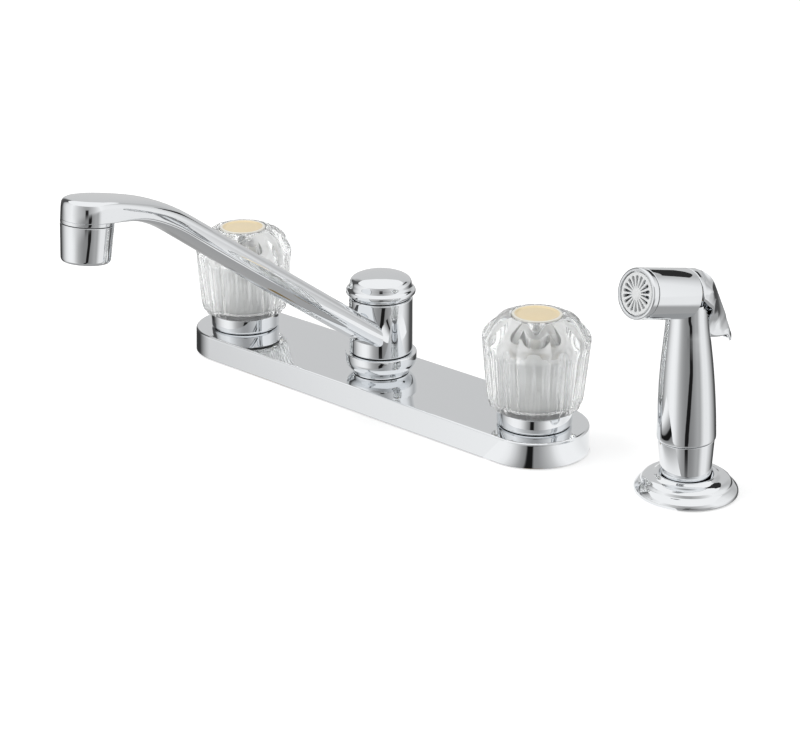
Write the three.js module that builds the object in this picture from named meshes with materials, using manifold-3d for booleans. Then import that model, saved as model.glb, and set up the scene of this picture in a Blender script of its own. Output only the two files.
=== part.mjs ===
// Two handle kitchen faucet on a deck plate, with a swivel spout and a side spray.
// Millimetres, +Z up. The origin is on the deck surface, on the axis the spout turns on.
// +X points to the cold handle and the spray, -Y points to the person at the sink.
import * as THREE from 'three';
import { mergeVertices } from 'three/addons/utils/BufferGeometryUtils.js';
import Module from 'manifold-3d';

const wasm = await Module();
wasm.setup();

// ---- fits and facets -------------------------------------------------------------------
const CLEAR = 0.3; // gap between pieces that touch or screw together
const SWIVEL_GAP = 0.4; // gap at faces that turn on each other
const FINE = 24; // sides of the large turned pieces
const COARSE = 12; // sides of bores and small turned pieces

// ---- deck plate ------------------------------------------------------------------------
const CENTRES = 203.2; // between the two inlets, 8 in
const PLATE_WIDTH = 54.7;
const PLATE_HEIGHT = 13.3;
const PLATE_WALL = 2.4;
const PLATE_EDGE = 2.4; // radius of the top edge
const PLATE_DRAFT = 0.4; // how far the side leans in over its height
const PLATE_LIFT = 0.4; // rim above the deck, so that the gasket seals
const GASKET_THICK = 2;

// ---- inlet bodies ----------------------------------------------------------------------
const SHANK_RADIUS = 10.4;
const SHANK_LENGTH = 50; // below the deck
const SHANK_BORE = 4.8;
const BODY_RADIUS = 15;
const NECK_RADIUS = 12.5;
const CHAMBER_RADIUS = 9;
const CHAMBER_FLOOR = 1; // height of the chamber floor over the deck
const SEAT_RADIUS = 6;
const SEAT_PORT = 3.4;
const SEAT_HEIGHT = 3.2;
const SPRING_LENGTH = 7;
const SPRING_WIRE = 0.55;
const SPRING_TURNS = 3;
const TUBE_RADIUS = 3.9;
const TUBE_WALL = 0.8;
const TUBE_SOCKET = 2.5; // depth that a tube stands in its body
const TUBE_SIDES = 10;
const DECK_THICKNESS = 12; // sink ledge that the nuts clamp
const NUT_HEIGHT = 8;
const NUT_RADIUS = 17;
const NUT_WING = 6;

// ---- handles ---------------------------------------------------------------------------
const RING_RADIUS = 18.5;
const RING_HEIGHT = 8;
const RING_FOOT = 17.7; // radius where the ring meets the plate
const KNOB_RADIUS = 26.3; // at the shoulder
const KNOB_FOOT_RADIUS = 21.2;
const KNOB_CROWN_RADIUS = 13.2; // rim round the index button
const KNOB_HEIGHT = 46.7;
const KNOB_SHOULDER = 35.4; // height of the widest band over the knob's foot
const KNOB_GAP = 1; // between ring and knob
const KNOB_LOBES = 10;
const KNOB_SCALLOP = 2.2; // depth of the hollows between the lobes
const KNOB_FLUTE = 0.7; // depth of the flutes down the side
const KNOB_CAVITY_RADIUS = 15.3;
const KNOB_CAVITY_HEIGHT = 31;
const KNOB_BOSS_RADIUS = 7.6;
const KNOB_BOSS_LENGTH = 12;
const BUTTON_RADIUS = 12.2;
const BUTTON_THICK = 2.2;
const INSERT_RADIUS = 5.4;
const INSERT_LENGTH = 15;
const STEM_RADIUS = 4.2;
const STEM_DISC_THICK = 3.4;
const SPLINE_TEETH = 10;
const SPLINE_DEPTH = 0.5;
const SCREW_RADIUS = 1.9;
const SCREW_HEAD_RADIUS = 3.8;
const SCREW_HEAD_HEIGHT = 2.4;
const BONNET_HEX = 21; // across flats
const BONNET_HEX_HEIGHT = 4.6;
const BONNET_NECK_RADIUS = 7;
const BONNET_NECK_HEIGHT = 8;
const ORING_WIRE = 0.5;

// ---- centre post -----------------------------------------------------------------------
const POST_RADIUS = 9.6;
const POST_BORE = 6.6;
const BASE_RING_RADIUS = 18.45;
const BASE_RING_FOOT = 14.6;
const BASE_RING_HEIGHT = 11.1;
const HUB_RADIUS = 16.3;
const HUB_HEIGHT = 28.9;
const HUB_CHAMBER = 12.4;
const CAP_RADIUS = 15.7;
const CAP_RING_RADIUS = 17.8;
const CAP_HEIGHT = 12.4;
const CAP_DOME = 4.2;
const CAP_ROOF = 3; // thickness over the thread
const CAP_THREAD_RADIUS = 8.6;
const GLIDE_THICK = 1.4;
const GLIDE_INSET = 2.4; // from the hub's side in to the bearing ring
const RISER_RADIUS = 2.4;
const RISER_WALL = 0.8;
const NIPPLE_RADIUS = 6.6;
const NIPPLE_LENGTH = 28;
const NIPPLE_STEP = 1.2; // from the nipple's radius to its thread in the body
const WINDOW_RADIUS = 3; // way out of the post into the spout
const PISTON_LENGTH = 9;
const DIVERTER_STROKE = 3; // that the piston lifts to feed the spray

// ---- spout -----------------------------------------------------------------------------
const REACH = 185; // spout axis to the middle of the outlet boss
const SPOUT_HEIGHT = 142.6; // end of the arm's centre line over the deck
const ARM_ROOT = 4.2; // where the arm's centre line meets the hub's axis, over the hub's foot
const ARM_END_ANGLE = 7.1; // degrees that it still rises at the outlet
const BEND_RADIUS = 110;
const ARM_WIDTH = 24;
const ARM_CROWN = 6.4; // top of the arm over its centre line
const ARM_BELLY = 6.2; // underside below the centre line, at the hub
const ARM_TIP_BELLY = 4.8; // the same, at the outlet
const WATERWAY_RADIUS = 3.2;
const OUTLET_RADIUS = 11.7;
const OUTLET_FOOT_RADIUS = 10.9;
const BOSS_TOP = 4.7; // over the arm's centre line
const BOSS_FOOT = 6.4; // below the arm's centre line
const SHELL_LENGTH = 17;
const SHELL_WALL = 1.8;
const NOZZLE_THREAD_LENGTH = 6.3;
const WASHER_THICK = 1.4;

// ---- hand spray ------------------------------------------------------------------------
const SPRAY_X = 184.9;
const SPRAY_Y = 9.1;
const SPRAY_YAW = 10.8; // degrees that the head looks towards the spout
const SPRAY_LEAN = 2.5; // degrees that the spray stands off plumb in its holder
const SPRAY_LEAN_HEADING = -137.6; // where it leans to, in degrees round from +X
const HOLDER_PLAY = 0.6; // between the collar and the holder's bore, which lets it lean
const LEAN_PIVOT = 1.5; // height in the bore that the spray leans about
const HOLDER_RADIUS = 24.4;
const HOLDER_HEIGHT = 9.8;
const HOLDER_SHANK_RADIUS = 14.4;
const HOLDER_SHANK_LENGTH = 44;
const HOLDER_NUT_RADIUS = 21;
const COLLAR_RADIUS = 13.1; // top of the tapered collar
const COLLAR_TAPER = 0.08; // radius lost for each millimetre down
const COLLAR_TOP = 26.6;
const COLLAR_DEPTH = 6; // how far the collar goes below the deck
const COUPLING_NUT_LENGTH = 13;
const SPIGOT_RADIUS = 7.4;
const SPIGOT_LENGTH = 15;
const HOSE_BORE = 4.2;
const HOSE_SOCKET_RADIUS = 6.8;
const GRIP_RADIUS = 13.7; // just over the collar
const GRIP_NECK_RADIUS = 9.4;
const HEAD_HEIGHT = 96.9; // where the barrel axis crosses the grip axis
const HEAD_TILT = 13.8; // degrees that the nozzle looks up
const HEAD_RADIUS = 11.6;
const HEAD_LENGTH = 32.5; // grip axis to nozzle face
const NOZZLE_RING_LENGTH = 3.4;
const NOZZLE_SLOTS = 18;
const NOZZLE_SLOT_REACH = 8; // radius that the slots reach to
const NOZZLE_WALL = 2.6; // of the barrel round the nozzle's thread
const NOZZLE_LIP = 1.7; // of the ring round the face
const FACE_DEPTH = 1.9; // of the recess that the face lies in
const SEAM_OFFSET = 2.4; // lever cap ahead of the grip axis
const CAP_WALL = 1.8;
const LEVER_DROP = 27.5; // grip axis crossing down to the lever tip
const LEVER_REACH = 26; // grip axis back to the lever tip
const LEVER_SKIRT_WIDTH = 13;
const PIN_RADIUS = 1.2;
const PIN_LENGTH = 17.2;
const PIN_RISE = 6.6; // pin over the barrel axis
const PLUNGER_RADIUS = 2;
const PLUNGER_HEAD_RADIUS = 4.2;

// ---- heights that follow ---------------------------------------------------------------
const side = CENTRES / 2;
const ceiling = PLATE_HEIGHT - PLATE_WALL;
const onPlate = PLATE_HEIGHT + CLEAR;
const bodyBottom = GASKET_THICK + CLEAR;
const bodyTop = ceiling - CLEAR;
const tubeHeight = (bodyBottom + bodyTop) / 2;
const ringTop = onPlate + RING_HEIGHT;
const neckTop = ringTop - 2 * CLEAR;
const knobFoot = ringTop + KNOB_GAP;
const knobTop = knobFoot + KNOB_HEIGHT;
const buttonBottom = knobTop - BUTTON_THICK + CLEAR;
const cavityTop = knobFoot + KNOB_CAVITY_HEIGHT;
const insertTop = cavityTop + 2.4;
const insertBottom = insertTop - INSERT_LENGTH;
const bossBottom = cavityTop - KNOB_BOSS_LENGTH;
const bonnetFlange = neckTop + CLEAR;
const bonnetHexTop = bonnetFlange + BONNET_HEX_HEIGHT;
const bonnetTop = bonnetHexTop + BONNET_NECK_HEIGHT;
const seatTop = CHAMBER_FLOOR + 1;
const stemBottom = seatTop + CLEAR;
const discTop = stemBottom + STEM_DISC_THICK;
const bonnetBottom = discTop + CLEAR;
const stemTop = insertTop - 4.4;
const hubBottom = onPlate + BASE_RING_HEIGHT + SWIVEL_GAP;
const glideBottom = hubBottom - SWIVEL_GAP + CLEAR;
const hubTop = hubBottom + HUB_HEIGHT;
const capBottom = hubTop + SWIVEL_GAP;
const capTop = capBottom + CAP_HEIGHT;
const capInside = capTop - CAP_ROOF;
const hubBore = POST_RADIUS + SWIVEL_GAP;
const postTop = capBottom + 5.4;
const chamberBottom = hubBottom + 7.4;
const chamberTop = hubTop - 8;
const pistonBottom = chamberTop - DIVERTER_STROKE - 1;
const pistonTop = pistonBottom + PISTON_LENGTH;

// ---- finishes --------------------------------------------------------------------------
const finish = (color, roughness, metalness, opacity = 1) => new THREE.MeshStandardMaterial({
  color, roughness, metalness, opacity, transparent: opacity < 1,
});
const chrome = finish('#d6d8dc', 0.08, 1);
const brass = finish('#c4a25a', 0.35, 1);
const copper = finish('#b87350', 0.35, 1);
const steel = finish('#b9bcc0', 0.3, 1);
const rubber = finish('#26272a', 0.8, 0);
const nylon = finish('#e6e4dc', 0.55, 0);
const acrylic = finish('#e9eeee', 0.05, 0, 0.45);
const gold = finish('#d9c08a', 0.35, 0.3);
const whitePlastic = finish('#e4e6e6', 0.4, 0);

// ---- making solids ---------------------------------------------------------------------
// A closed geometry becomes a solid with its faces pointing out.
function solid(geometry) {
  const bare = geometry.clone();
  bare.deleteAttribute('normal');
  bare.deleteAttribute('uv');
  const merged = mergeVertices(bare, 1e-4);
  const points = merged.attributes.position;
  const corner = (i) => new THREE.Vector3().fromBufferAttribute(points, merged.index.getX(i));
  const triangles = [];
  let volume = 0;
  for (let i = 0; i < merged.index.count; i += 3) {
    const [p, q, r] = [0, 1, 2].map((k) => merged.index.getX(i + k));
    if (p === q || q === r || r === p) continue;
    triangles.push(p, q, r);
    volume += corner(i).dot(corner(i + 1).cross(corner(i + 2)));
  }
  if (volume < 0) triangles.reverse();
  return new wasm.Manifold(new wasm.Mesh({
    numProp: 3,
    vertProperties: new Float32Array(points.array),
    triVerts: new Uint32Array(triangles),
  }));
}

function geometryOf(body) {
  const { vertProperties, triVerts } = body.getMesh();
  const geometry = new THREE.BufferGeometry();
  geometry.setAttribute('position', new THREE.BufferAttribute(vertProperties, 3));
  geometry.setIndex(new THREE.BufferAttribute(triVerts, 1));
  return geometry;
}

const cut = (body, ...tools) => tools.reduce((left, tool) => left.subtract(tool), body);
const join = (body, ...more) => more.reduce((left, part) => left.add(part), body);

// A profile of [radius, height] points turned about Z. It ends on the axis or is closed here.
function turned(profile, sides = COARSE) {
  const points = profile.map(([radius, height]) => new THREE.Vector2(radius, height));
  const onAxis = profile[0][0] === 0 && profile[profile.length - 1][0] === 0;
  if (!onAxis) points.push(points[0].clone());
  return solid(new THREE.LatheGeometry(points, sides).rotateX(Math.PI / 2));
}

// A round hole is drawn with its flats on its circle, so that what it holds clears them.
const around = (radius, sides = COARSE) => radius / Math.cos(Math.PI / sides);
const hole = (radius, low, high, sides = COARSE) => rod(around(radius, sides), low, high, sides);
const ring = (inner, outer, low, high, sides = COARSE) => {
  const bore = around(inner, sides);
  return turned([[bore, low], [outer, low], [outer, high], [bore, high]], sides);
};
const rod = (radius, low, high, sides = COARSE) => turned(
  [[0, low], [radius, low], [radius, high], [0, high]],
  sides,
);

// Rings of equal point counts, joined in order and closed at both ends.
function loft(rings) {
  const count = rings[0].length;
  const positions = [];
  const index = [];
  for (const points of rings) for (const p of points) positions.push(p.x, p.y, p.z);
  for (let i = 0; i + 1 < rings.length; i += 1) {
    for (let k = 0; k < count; k += 1) {
      const a = i * count + k;
      const b = i * count + ((k + 1) % count);
      index.push(a, b, b + count, a, b + count, a + count);
    }
  }
  for (const end of [0, rings.length - 1]) {
    const middle = positions.length / 3;
    const centre = rings[end].reduce((sum, p) => sum.add(p), new THREE.Vector3());
    centre.divideScalar(count);
    positions.push(centre.x, centre.y, centre.z);
    for (let k = 0; k < count; k += 1) {
      const a = end * count + k;
      const b = end * count + ((k + 1) % count);
      if (end === 0) index.push(a, middle, b);
      else index.push(a, b, middle);
    }
  }
  const geometry = new THREE.BufferGeometry();
  geometry.setAttribute('position', new THREE.Float32BufferAttribute(positions, 3));
  geometry.setIndex(index);
  return solid(geometry);
}

// A flat outline of [x, y] points, extruded along Z from low to high.
function prism(outline, low, high) {
  const shape = new THREE.Shape(outline.map(([x, y]) => new THREE.Vector2(x, y)));
  const geometry = new THREE.ExtrudeGeometry(shape, { depth: high - low, bevelEnabled: false });
  return solid(geometry.translate(0, 0, low));
}

const polygon = (sides, radius, turn = 0) => Array.from({ length: sides }, (_, k) => {
  const angle = turn + (2 * Math.PI * k) / sides;
  return [radius * Math.cos(angle), radius * Math.sin(angle)];
});
const hexagon = (acrossFlats) => polygon(6, acrossFlats / Math.sqrt(3));

function placed(body, { turnX = 0, turnY = 0, turnZ = 0, x = 0, y = 0, z = 0 } = {}) {
  return body.rotate([turnX, turnY, turnZ]).translate([x, y, z]);
}

// A helical wire about Z with flat-laid ends, as one open-ended tube.
function coil(radius, wire, low, high, turns) {
  const stepsPerTurn = 6;
  const steps = stepsPerTurn * turns;
  const rings = [];
  for (let i = 0; i <= steps; i += 1) {
    const angle = (2 * Math.PI * i) / stepsPerTurn;
    const height = low + wire + ((high - low - 2 * wire) * i) / steps;
    const out = new THREE.Vector3(Math.cos(angle), Math.sin(angle), 0);
    rings.push(polygon(4, wire).map(([across, up]) => out.clone()
      .multiplyScalar(radius + across).setZ(height + up)));
  }
  return loft(rings);
}

// An O-ring stands just proud of the groove cut in a shaft of the given radius.
const oring = (shaft, height) => turned(
  polygon(5, ORING_WIRE).map(([across, up]) => [shaft - 0.75 * ORING_WIRE + across, height + up]),
);
const oringGroove = (shaft) => shaft - 2 * ORING_WIRE - 0.1;

const faucet = new THREE.Group();
function add(name, body, material, group = faucet) {
  const mesh = new THREE.Mesh(geometryOf(body), material);
  mesh.name = name;
  group.add(mesh);
}

// ---- deck plate and gasket -------------------------------------------------------------
// A stadium: straight sides between two half circles centred on the inlets.
function stadium(radius, height, arcSteps = 12) {
  const points = [];
  for (const end of [1, -1]) {
    for (let k = 0; k <= arcSteps; k += 1) {
      const angle = (Math.PI * k) / arcSteps - Math.PI / 2;
      points.push(new THREE.Vector3(
        end * (side + radius * Math.cos(angle)),
        end * radius * Math.sin(angle),
        height,
      ));
    }
  }
  return points;
}

function deckplate() {
  const foot = PLATE_WIDTH / 2;
  const shoulder = foot - PLATE_DRAFT;
  const edgeSteps = 2;
  const outside = [stadium(foot, PLATE_LIFT)];
  for (let k = 0; k <= edgeSteps; k += 1) {
    const angle = ((Math.PI / 2) * k) / edgeSteps;
    outside.push(stadium(
      shoulder - PLATE_EDGE * (1 - Math.cos(angle)),
      PLATE_HEIGHT - PLATE_EDGE * (1 - Math.sin(angle)),
    ));
  }
  const inside = [
    stadium(foot - PLATE_WALL, -1),
    stadium(shoulder - PLATE_WALL, ceiling),
  ];
  const bodyHole = hole(NECK_RADIUS + CLEAR, 0, PLATE_HEIGHT + 1);
  return cut(
    loft(outside),
    loft(inside),
    placed(bodyHole, { x: side }),
    placed(bodyHole, { x: -side }),
    hole(POST_RADIUS + CLEAR, 0, PLATE_HEIGHT + 1),
  );
}

function gasket() {
  const edge = PLATE_WIDTH / 2 - PLATE_WALL - CLEAR;
  const shankHole = hole(SHANK_RADIUS + CLEAR, -1, GASKET_THICK + 1);
  return cut(
    loft([stadium(edge, 0), stadium(edge, GASKET_THICK)]),
    placed(shankHole, { x: side }),
    placed(shankHole, { x: -side }),
    hole(NIPPLE_RADIUS + CLEAR, -1, GASKET_THICK + 1),
  );
}

// ---- inlet bodies and their fixings ----------------------------------------------------
function valveBody(towardsCentre) {
  const springFloor = seatTop - SEAT_HEIGHT - SPRING_LENGTH;
  const chamber = around(CHAMBER_RADIUS);
  const pocket = around(SEAT_RADIUS + CLEAR);
  const body = turned([
    [SHANK_BORE, -SHANK_LENGTH], [SHANK_RADIUS, -SHANK_LENGTH], [SHANK_RADIUS, bodyBottom],
    [BODY_RADIUS, bodyBottom], [BODY_RADIUS, bodyTop], [NECK_RADIUS, bodyTop],
    [NECK_RADIUS, neckTop], [chamber, neckTop], [chamber, CHAMBER_FLOOR],
    [pocket, CHAMBER_FLOOR], [pocket, springFloor], [SHANK_BORE, springFloor],
  ]);
  return cut(body, tubePort(towardsCentre));
}

// The way from a chamber out to a mix tube, with the socket that the tube stands in.
function tubePort(direction) {
  const end = BODY_RADIUS + 1;
  return placed(join(
    rod(TUBE_RADIUS - TUBE_WALL, 0, end, TUBE_SIDES),
    hole(TUBE_RADIUS + CLEAR, BODY_RADIUS - TUBE_SOCKET, end, TUBE_SIDES),
  ), { turnY: 90 * direction, z: tubeHeight });
}

function mixTube(towardsCentre) {
  const inside = BODY_RADIUS - TUBE_SOCKET + CLEAR;
  const tube = ring(TUBE_RADIUS - TUBE_WALL, TUBE_RADIUS, inside, side - inside, TUBE_SIDES);
  return placed(tube, { turnY: -90 * towardsCentre, z: tubeHeight });
}

// A mounting nut with two wings to turn it by.
function wingNut(bore, radius, top, sides) {
  const low = top - NUT_HEIGHT;
  const wing = prism([
    [radius - 2, -2.5], [radius + NUT_WING, -1.8], [radius + NUT_WING, 1.8], [radius - 2, 2.5],
  ], low, top - 2);
  return cut(
    join(
      turned([[0, low], [radius - 2, low], [radius, top - 2], [radius, top], [0, top]], 18),
      wing,
      placed(wing, { turnZ: 180 }),
    ),
    hole(bore, low - 1, top + 1, sides),
  );
}

function flangeRing() {
  const bore = around(NECK_RADIUS + CLEAR, FINE);
  return turned([
    [bore, onPlate], [RING_FOOT, onPlate], [RING_RADIUS, onPlate + 1],
    [RING_RADIUS, ringTop - 0.6], [RING_RADIUS - 0.6, ringTop],
    [bore, ringTop + 0.4],
  ], FINE);
}

function bonnet() {
  const plug = CHAMBER_RADIUS - CLEAR;
  return cut(
    join(
      rod(plug, bonnetBottom, bonnetHexTop),
      rod(BONNET_NECK_RADIUS, bonnetHexTop - 1, bonnetTop),
      prism(hexagon(BONNET_HEX), bonnetFlange, bonnetHexTop),
    ),
    hole(STEM_RADIUS + CLEAR, bonnetBottom - 1, bonnetTop + 1),
  );
}

function seat() {
  return turned([
    [SEAT_PORT, seatTop - SEAT_HEIGHT], [SEAT_RADIUS, seatTop - SEAT_HEIGHT],
    [SEAT_RADIUS, seatTop - 1.4], [SEAT_RADIUS - 1, seatTop], [SEAT_PORT, seatTop],
  ]);
}

function seatSpring() {
  const top = seatTop - SEAT_HEIGHT - CLEAR;
  return coil(SHANK_BORE + 0.4, SPRING_WIRE, top - SPRING_LENGTH + 2 * CLEAR, top, SPRING_TURNS);
}

// ---- knob and stem ---------------------------------------------------------------------
// The crystal knob: ten lobes at the shoulder run down into flutes that fade at the foot.
function knobOutline(radius, height, scallop, flute) {
  const sides = KNOB_LOBES * 4;
  return Array.from({ length: sides }, (_, k) => {
    const angle = (2 * Math.PI * k) / sides;
    const hollow = (1 - Math.cos(KNOB_LOBES * angle)) / 2;
    const groove = (1 - Math.cos(2 * KNOB_LOBES * angle)) / 2;
    const reach = radius - scallop * hollow - flute * groove;
    return new THREE.Vector3(reach * Math.cos(angle), reach * Math.sin(angle), height);
  });
}

function knob() {
  const shoulder = knobFoot + KNOB_SHOULDER;
  const dome = knobTop - shoulder;
  const flank = (share) => THREE.MathUtils.lerp(KNOB_FOOT_RADIUS + 1.6, KNOB_RADIUS - 0.3, share);
  const height = (share) => THREE.MathUtils.lerp(knobFoot + 4, shoulder - 4, share);
  const outside = loft([
    knobOutline(KNOB_FOOT_RADIUS, knobFoot, 0, KNOB_FLUTE),
    knobOutline(flank(0.2), height(0), 0, KNOB_FLUTE),
    knobOutline(flank(1), height(1), KNOB_SCALLOP * 0.2, KNOB_FLUTE),
    knobOutline(KNOB_RADIUS, shoulder, KNOB_SCALLOP, 0),
    knobOutline(KNOB_RADIUS - 1.8, shoulder + 0.35 * dome, KNOB_SCALLOP, 0),
    knobOutline(KNOB_RADIUS - 5.4, shoulder + 0.68 * dome, KNOB_SCALLOP * 0.7, 0),
    knobOutline(KNOB_CROWN_RADIUS, knobTop, 0, 0),
  ]);
  const boss = ring(INSERT_RADIUS + CLEAR, KNOB_BOSS_RADIUS, bossBottom, cavityTop + 1);
  const cavity = turned([
    [0, knobFoot - 1], [KNOB_CAVITY_RADIUS, knobFoot - 1], [KNOB_CAVITY_RADIUS, cavityTop - 3],
    [KNOB_CAVITY_RADIUS - 3, cavityTop], [0, cavityTop],
  ]);
  return cut(
    join(cut(outside, cavity), boss),
    hole(INSERT_RADIUS + CLEAR, bossBottom - 1, insertTop + CLEAR),
    hole(SCREW_RADIUS + CLEAR, insertTop - 1, knobTop, 10),
    hole(SCREW_HEAD_RADIUS + CLEAR, screwSeat(), knobTop, 10),
    hole(BUTTON_RADIUS + CLEAR, buttonBottom - CLEAR, knobTop + 1, FINE),
  );
}

// The screw head rests on the acrylic between the insert and the button.
const screwSeat = () => insertTop + 2.2;

const splineOutline = (radius) => Array.from({ length: 2 * SPLINE_TEETH }, (_, k) => {
  const angle = (Math.PI * k) / SPLINE_TEETH;
  const reach = k % 2 ? radius - SPLINE_DEPTH : radius;
  return [reach * Math.cos(angle), reach * Math.sin(angle)];
});

function knobInsert() {
  return cut(
    rod(INSERT_RADIUS, insertBottom, insertTop),
    prism(splineOutline(STEM_RADIUS + CLEAR), insertBottom - 1, stemTop + CLEAR),
    hole(SCREW_RADIUS + CLEAR, stemTop, insertTop + 1, 10),
  );
}

function knobScrew() {
  const head = screwSeat() + CLEAR;
  return cut(
    join(
      rod(SCREW_RADIUS, stemTop - 7, head + 0.1, 10),
      rod(SCREW_HEAD_RADIUS, head, head + SCREW_HEAD_HEIGHT, 10),
    ),
    prism([[-3, -0.5], [3, -0.5], [3, 0.5], [-3, 0.5]], head + 1.2, head + SCREW_HEAD_HEIGHT + 1),
    prism([[-0.5, -3], [0.5, -3], [0.5, 3], [-0.5, 3]], head + 1.2, head + SCREW_HEAD_HEIGHT + 1),
  );
}

function indexButton() {
  const top = buttonBottom + BUTTON_THICK;
  return turned([
    [0, buttonBottom], [BUTTON_RADIUS, buttonBottom], [BUTTON_RADIUS, top - 0.4],
    [BUTTON_RADIUS - 0.8, top], [BUTTON_RADIUS - 2.4, top - 0.5], [0, top - 0.2],
  ], FINE);
}

function stem() {
  const groove = stemOringHeight();
  const neck = oringGroove(STEM_RADIUS);
  const disc = CHAMBER_RADIUS - CLEAR;
  const shaft = turned([
    [0, stemBottom], [disc, stemBottom], [disc, discTop],
    [STEM_RADIUS, discTop], [STEM_RADIUS, groove - 1], [neck, groove - 1],
    [neck, groove + 1], [STEM_RADIUS, groove + 1], [STEM_RADIUS, bonnetTop + 1],
    [0, bonnetTop + 1],
  ]);
  const spline = prism(splineOutline(STEM_RADIUS), bonnetTop + 0.5, stemTop);
  const way = placed(rod(1.8, stemBottom - 1, discTop + 1, 8), { x: 5.4 });
  return cut(join(shaft, spline), way, hole(SCREW_RADIUS + CLEAR, stemTop - 8, stemTop + 1, 10));
}

const stemOringHeight = () => (bonnetHexTop + bonnetTop) / 2;
const stemOring = () => oring(STEM_RADIUS, stemOringHeight());

// ---- one inlet with its handle ---------------------------------------------------------
function inlet(name, x) {
  const group = new THREE.Group();
  group.position.x = x;
  faucet.add(group);
  const towardsCentre = -Math.sign(x);
  const locknut = wingNut(SHANK_RADIUS + CLEAR, NUT_RADIUS, -DECK_THICKNESS, COARSE);
  add(`${name}_valve_body`, valveBody(towardsCentre), brass, group);
  add(`${name}_seat`, seat(), rubber, group);
  add(`${name}_seat_spring`, seatSpring(), steel, group);
  add(`${name}_bonnet`, bonnet(), brass, group);
  add(`${name}_flange_ring`, flangeRing(), chrome, group);
  add(`${name}_locknut`, locknut, nylon, group);
  add(`${name}_knob`, knob(), acrylic, group);
  add(`${name}_knob_insert`, knobInsert(), nylon, group);
  add(`${name}_knob_screw`, knobScrew(), steel, group);
  add(`${name}_index_button`, indexButton(), gold, group);
  add(`${name}_stem`, stem(), brass, group);
  add(`${name}_stem_oring`, stemOring(), rubber, group);
  add(`${name}_mix_tube`, mixTube(-towardsCentre), copper);
}

// ---- centre post -----------------------------------------------------------------------
function centrePost() {
  const threadBottom = capBottom - 1;
  const floor = bodyBottom + 1;
  const grooves = [lowerOring(), upperOring()].map((height) => turned([
    [oringGroove(POST_RADIUS), height - 1], [POST_RADIUS + 1, height - 1],
    [POST_RADIUS + 1, height + 1], [oringGroove(POST_RADIUS), height + 1],
  ]));
  const spigot = around(NIPPLE_RADIUS - NIPPLE_STEP);
  const post = turned([
    [spigot, bodyBottom], [BODY_RADIUS, bodyBottom], [BODY_RADIUS, bodyTop],
    [POST_RADIUS, bodyTop], [POST_RADIUS, threadBottom], [CAP_THREAD_RADIUS, threadBottom],
    [CAP_THREAD_RADIUS, postTop], [around(POST_BORE), postTop], [around(POST_BORE), floor],
    [spigot, floor],
  ]);
  const window = placed(rod(WINDOW_RADIUS, -BODY_RADIUS, BODY_RADIUS, 8), {
    turnX: 90, z: chamberBottom + WINDOW_RADIUS + 1,
  });
  return cut(post, tubePort(1), tubePort(-1), window, ...grooves);
}

const lowerOring = () => (hubBottom + chamberBottom) / 2;
const upperOring = () => (chamberTop + hubTop) / 2;

function baseRing() {
  const bore = around(POST_RADIUS + CLEAR, FINE);
  const top = onPlate + BASE_RING_HEIGHT;
  return turned([
    [bore, onPlate], [BASE_RING_FOOT, onPlate], [BASE_RING_FOOT + 0.4, onPlate + 1.2],
    [BASE_RING_RADIUS - 1.4, onPlate + 3.2], [BASE_RING_RADIUS, onPlate + 5.8],
    [BASE_RING_RADIUS, top - 0.6], [BASE_RING_RADIUS - 0.6, top], [bore, top],
  ], FINE);
}

function glideRing() {
  return ring(hubBore, HUB_RADIUS - GLIDE_INSET, glideBottom, glideBottom + GLIDE_THICK);
}

// Cap nut with a raised band, a straight side and a low dome.
function spoutCap() {
  return cut(
    turned([
      [0, capBottom], [CAP_RADIUS, capBottom], [CAP_RADIUS, capBottom + 0.9],
      [CAP_RING_RADIUS, capBottom + 1.5], [CAP_RING_RADIUS, capBottom + 3.4],
      [CAP_RADIUS, capBottom + 4.2], [CAP_RADIUS, capTop - CAP_DOME],
      [CAP_RADIUS - 0.9, capTop - 0.72 * CAP_DOME], [CAP_RADIUS * 0.72, capTop - 0.33 * CAP_DOME],
      [CAP_RADIUS * 0.38, capTop - 0.08 * CAP_DOME], [0, capTop],
    ], FINE),
    hole(CAP_THREAD_RADIUS + CLEAR, capBottom - 1, capInside),
  );
}

function sprayNipple() {
  const top = bodyBottom + 1 - CLEAR;
  return cut(
    join(
      rod(NIPPLE_RADIUS, -NIPPLE_LENGTH, GASKET_THICK),
      rod(NIPPLE_RADIUS - NIPPLE_STEP - CLEAR, GASKET_THICK - 0.1, top),
      prism(hexagon(2 * NIPPLE_RADIUS + 3.4), -9, -4),
    ),
    hole(RISER_RADIUS + CLEAR, -NIPPLE_LENGTH - 1, top + 1, TUBE_SIDES),
  );
}

function sprayRiser() {
  const low = 6 - NIPPLE_LENGTH;
  return ring(RISER_RADIUS - RISER_WALL, RISER_RADIUS, low, pistonBottom - 2, TUBE_SIDES);
}

function diverterPiston() {
  const radius = POST_BORE - CLEAR;
  const waist = radius - 1.6;
  return turned([
    [0, pistonBottom], [waist, pistonBottom], [radius, pistonBottom + 1.6],
    [radius, pistonBottom + 3.4], [waist, pistonBottom + 4], [waist, pistonTop - 2.4],
    [radius, pistonTop - 1.8], [radius, pistonTop], [0, pistonTop],
  ]);
}

function diverterSpring() {
  const radius = POST_BORE - 2 * SPRING_WIRE - 1;
  return coil(radius, SPRING_WIRE, pistonTop + CLEAR, capInside - CLEAR, SPRING_TURNS);
}

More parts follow.
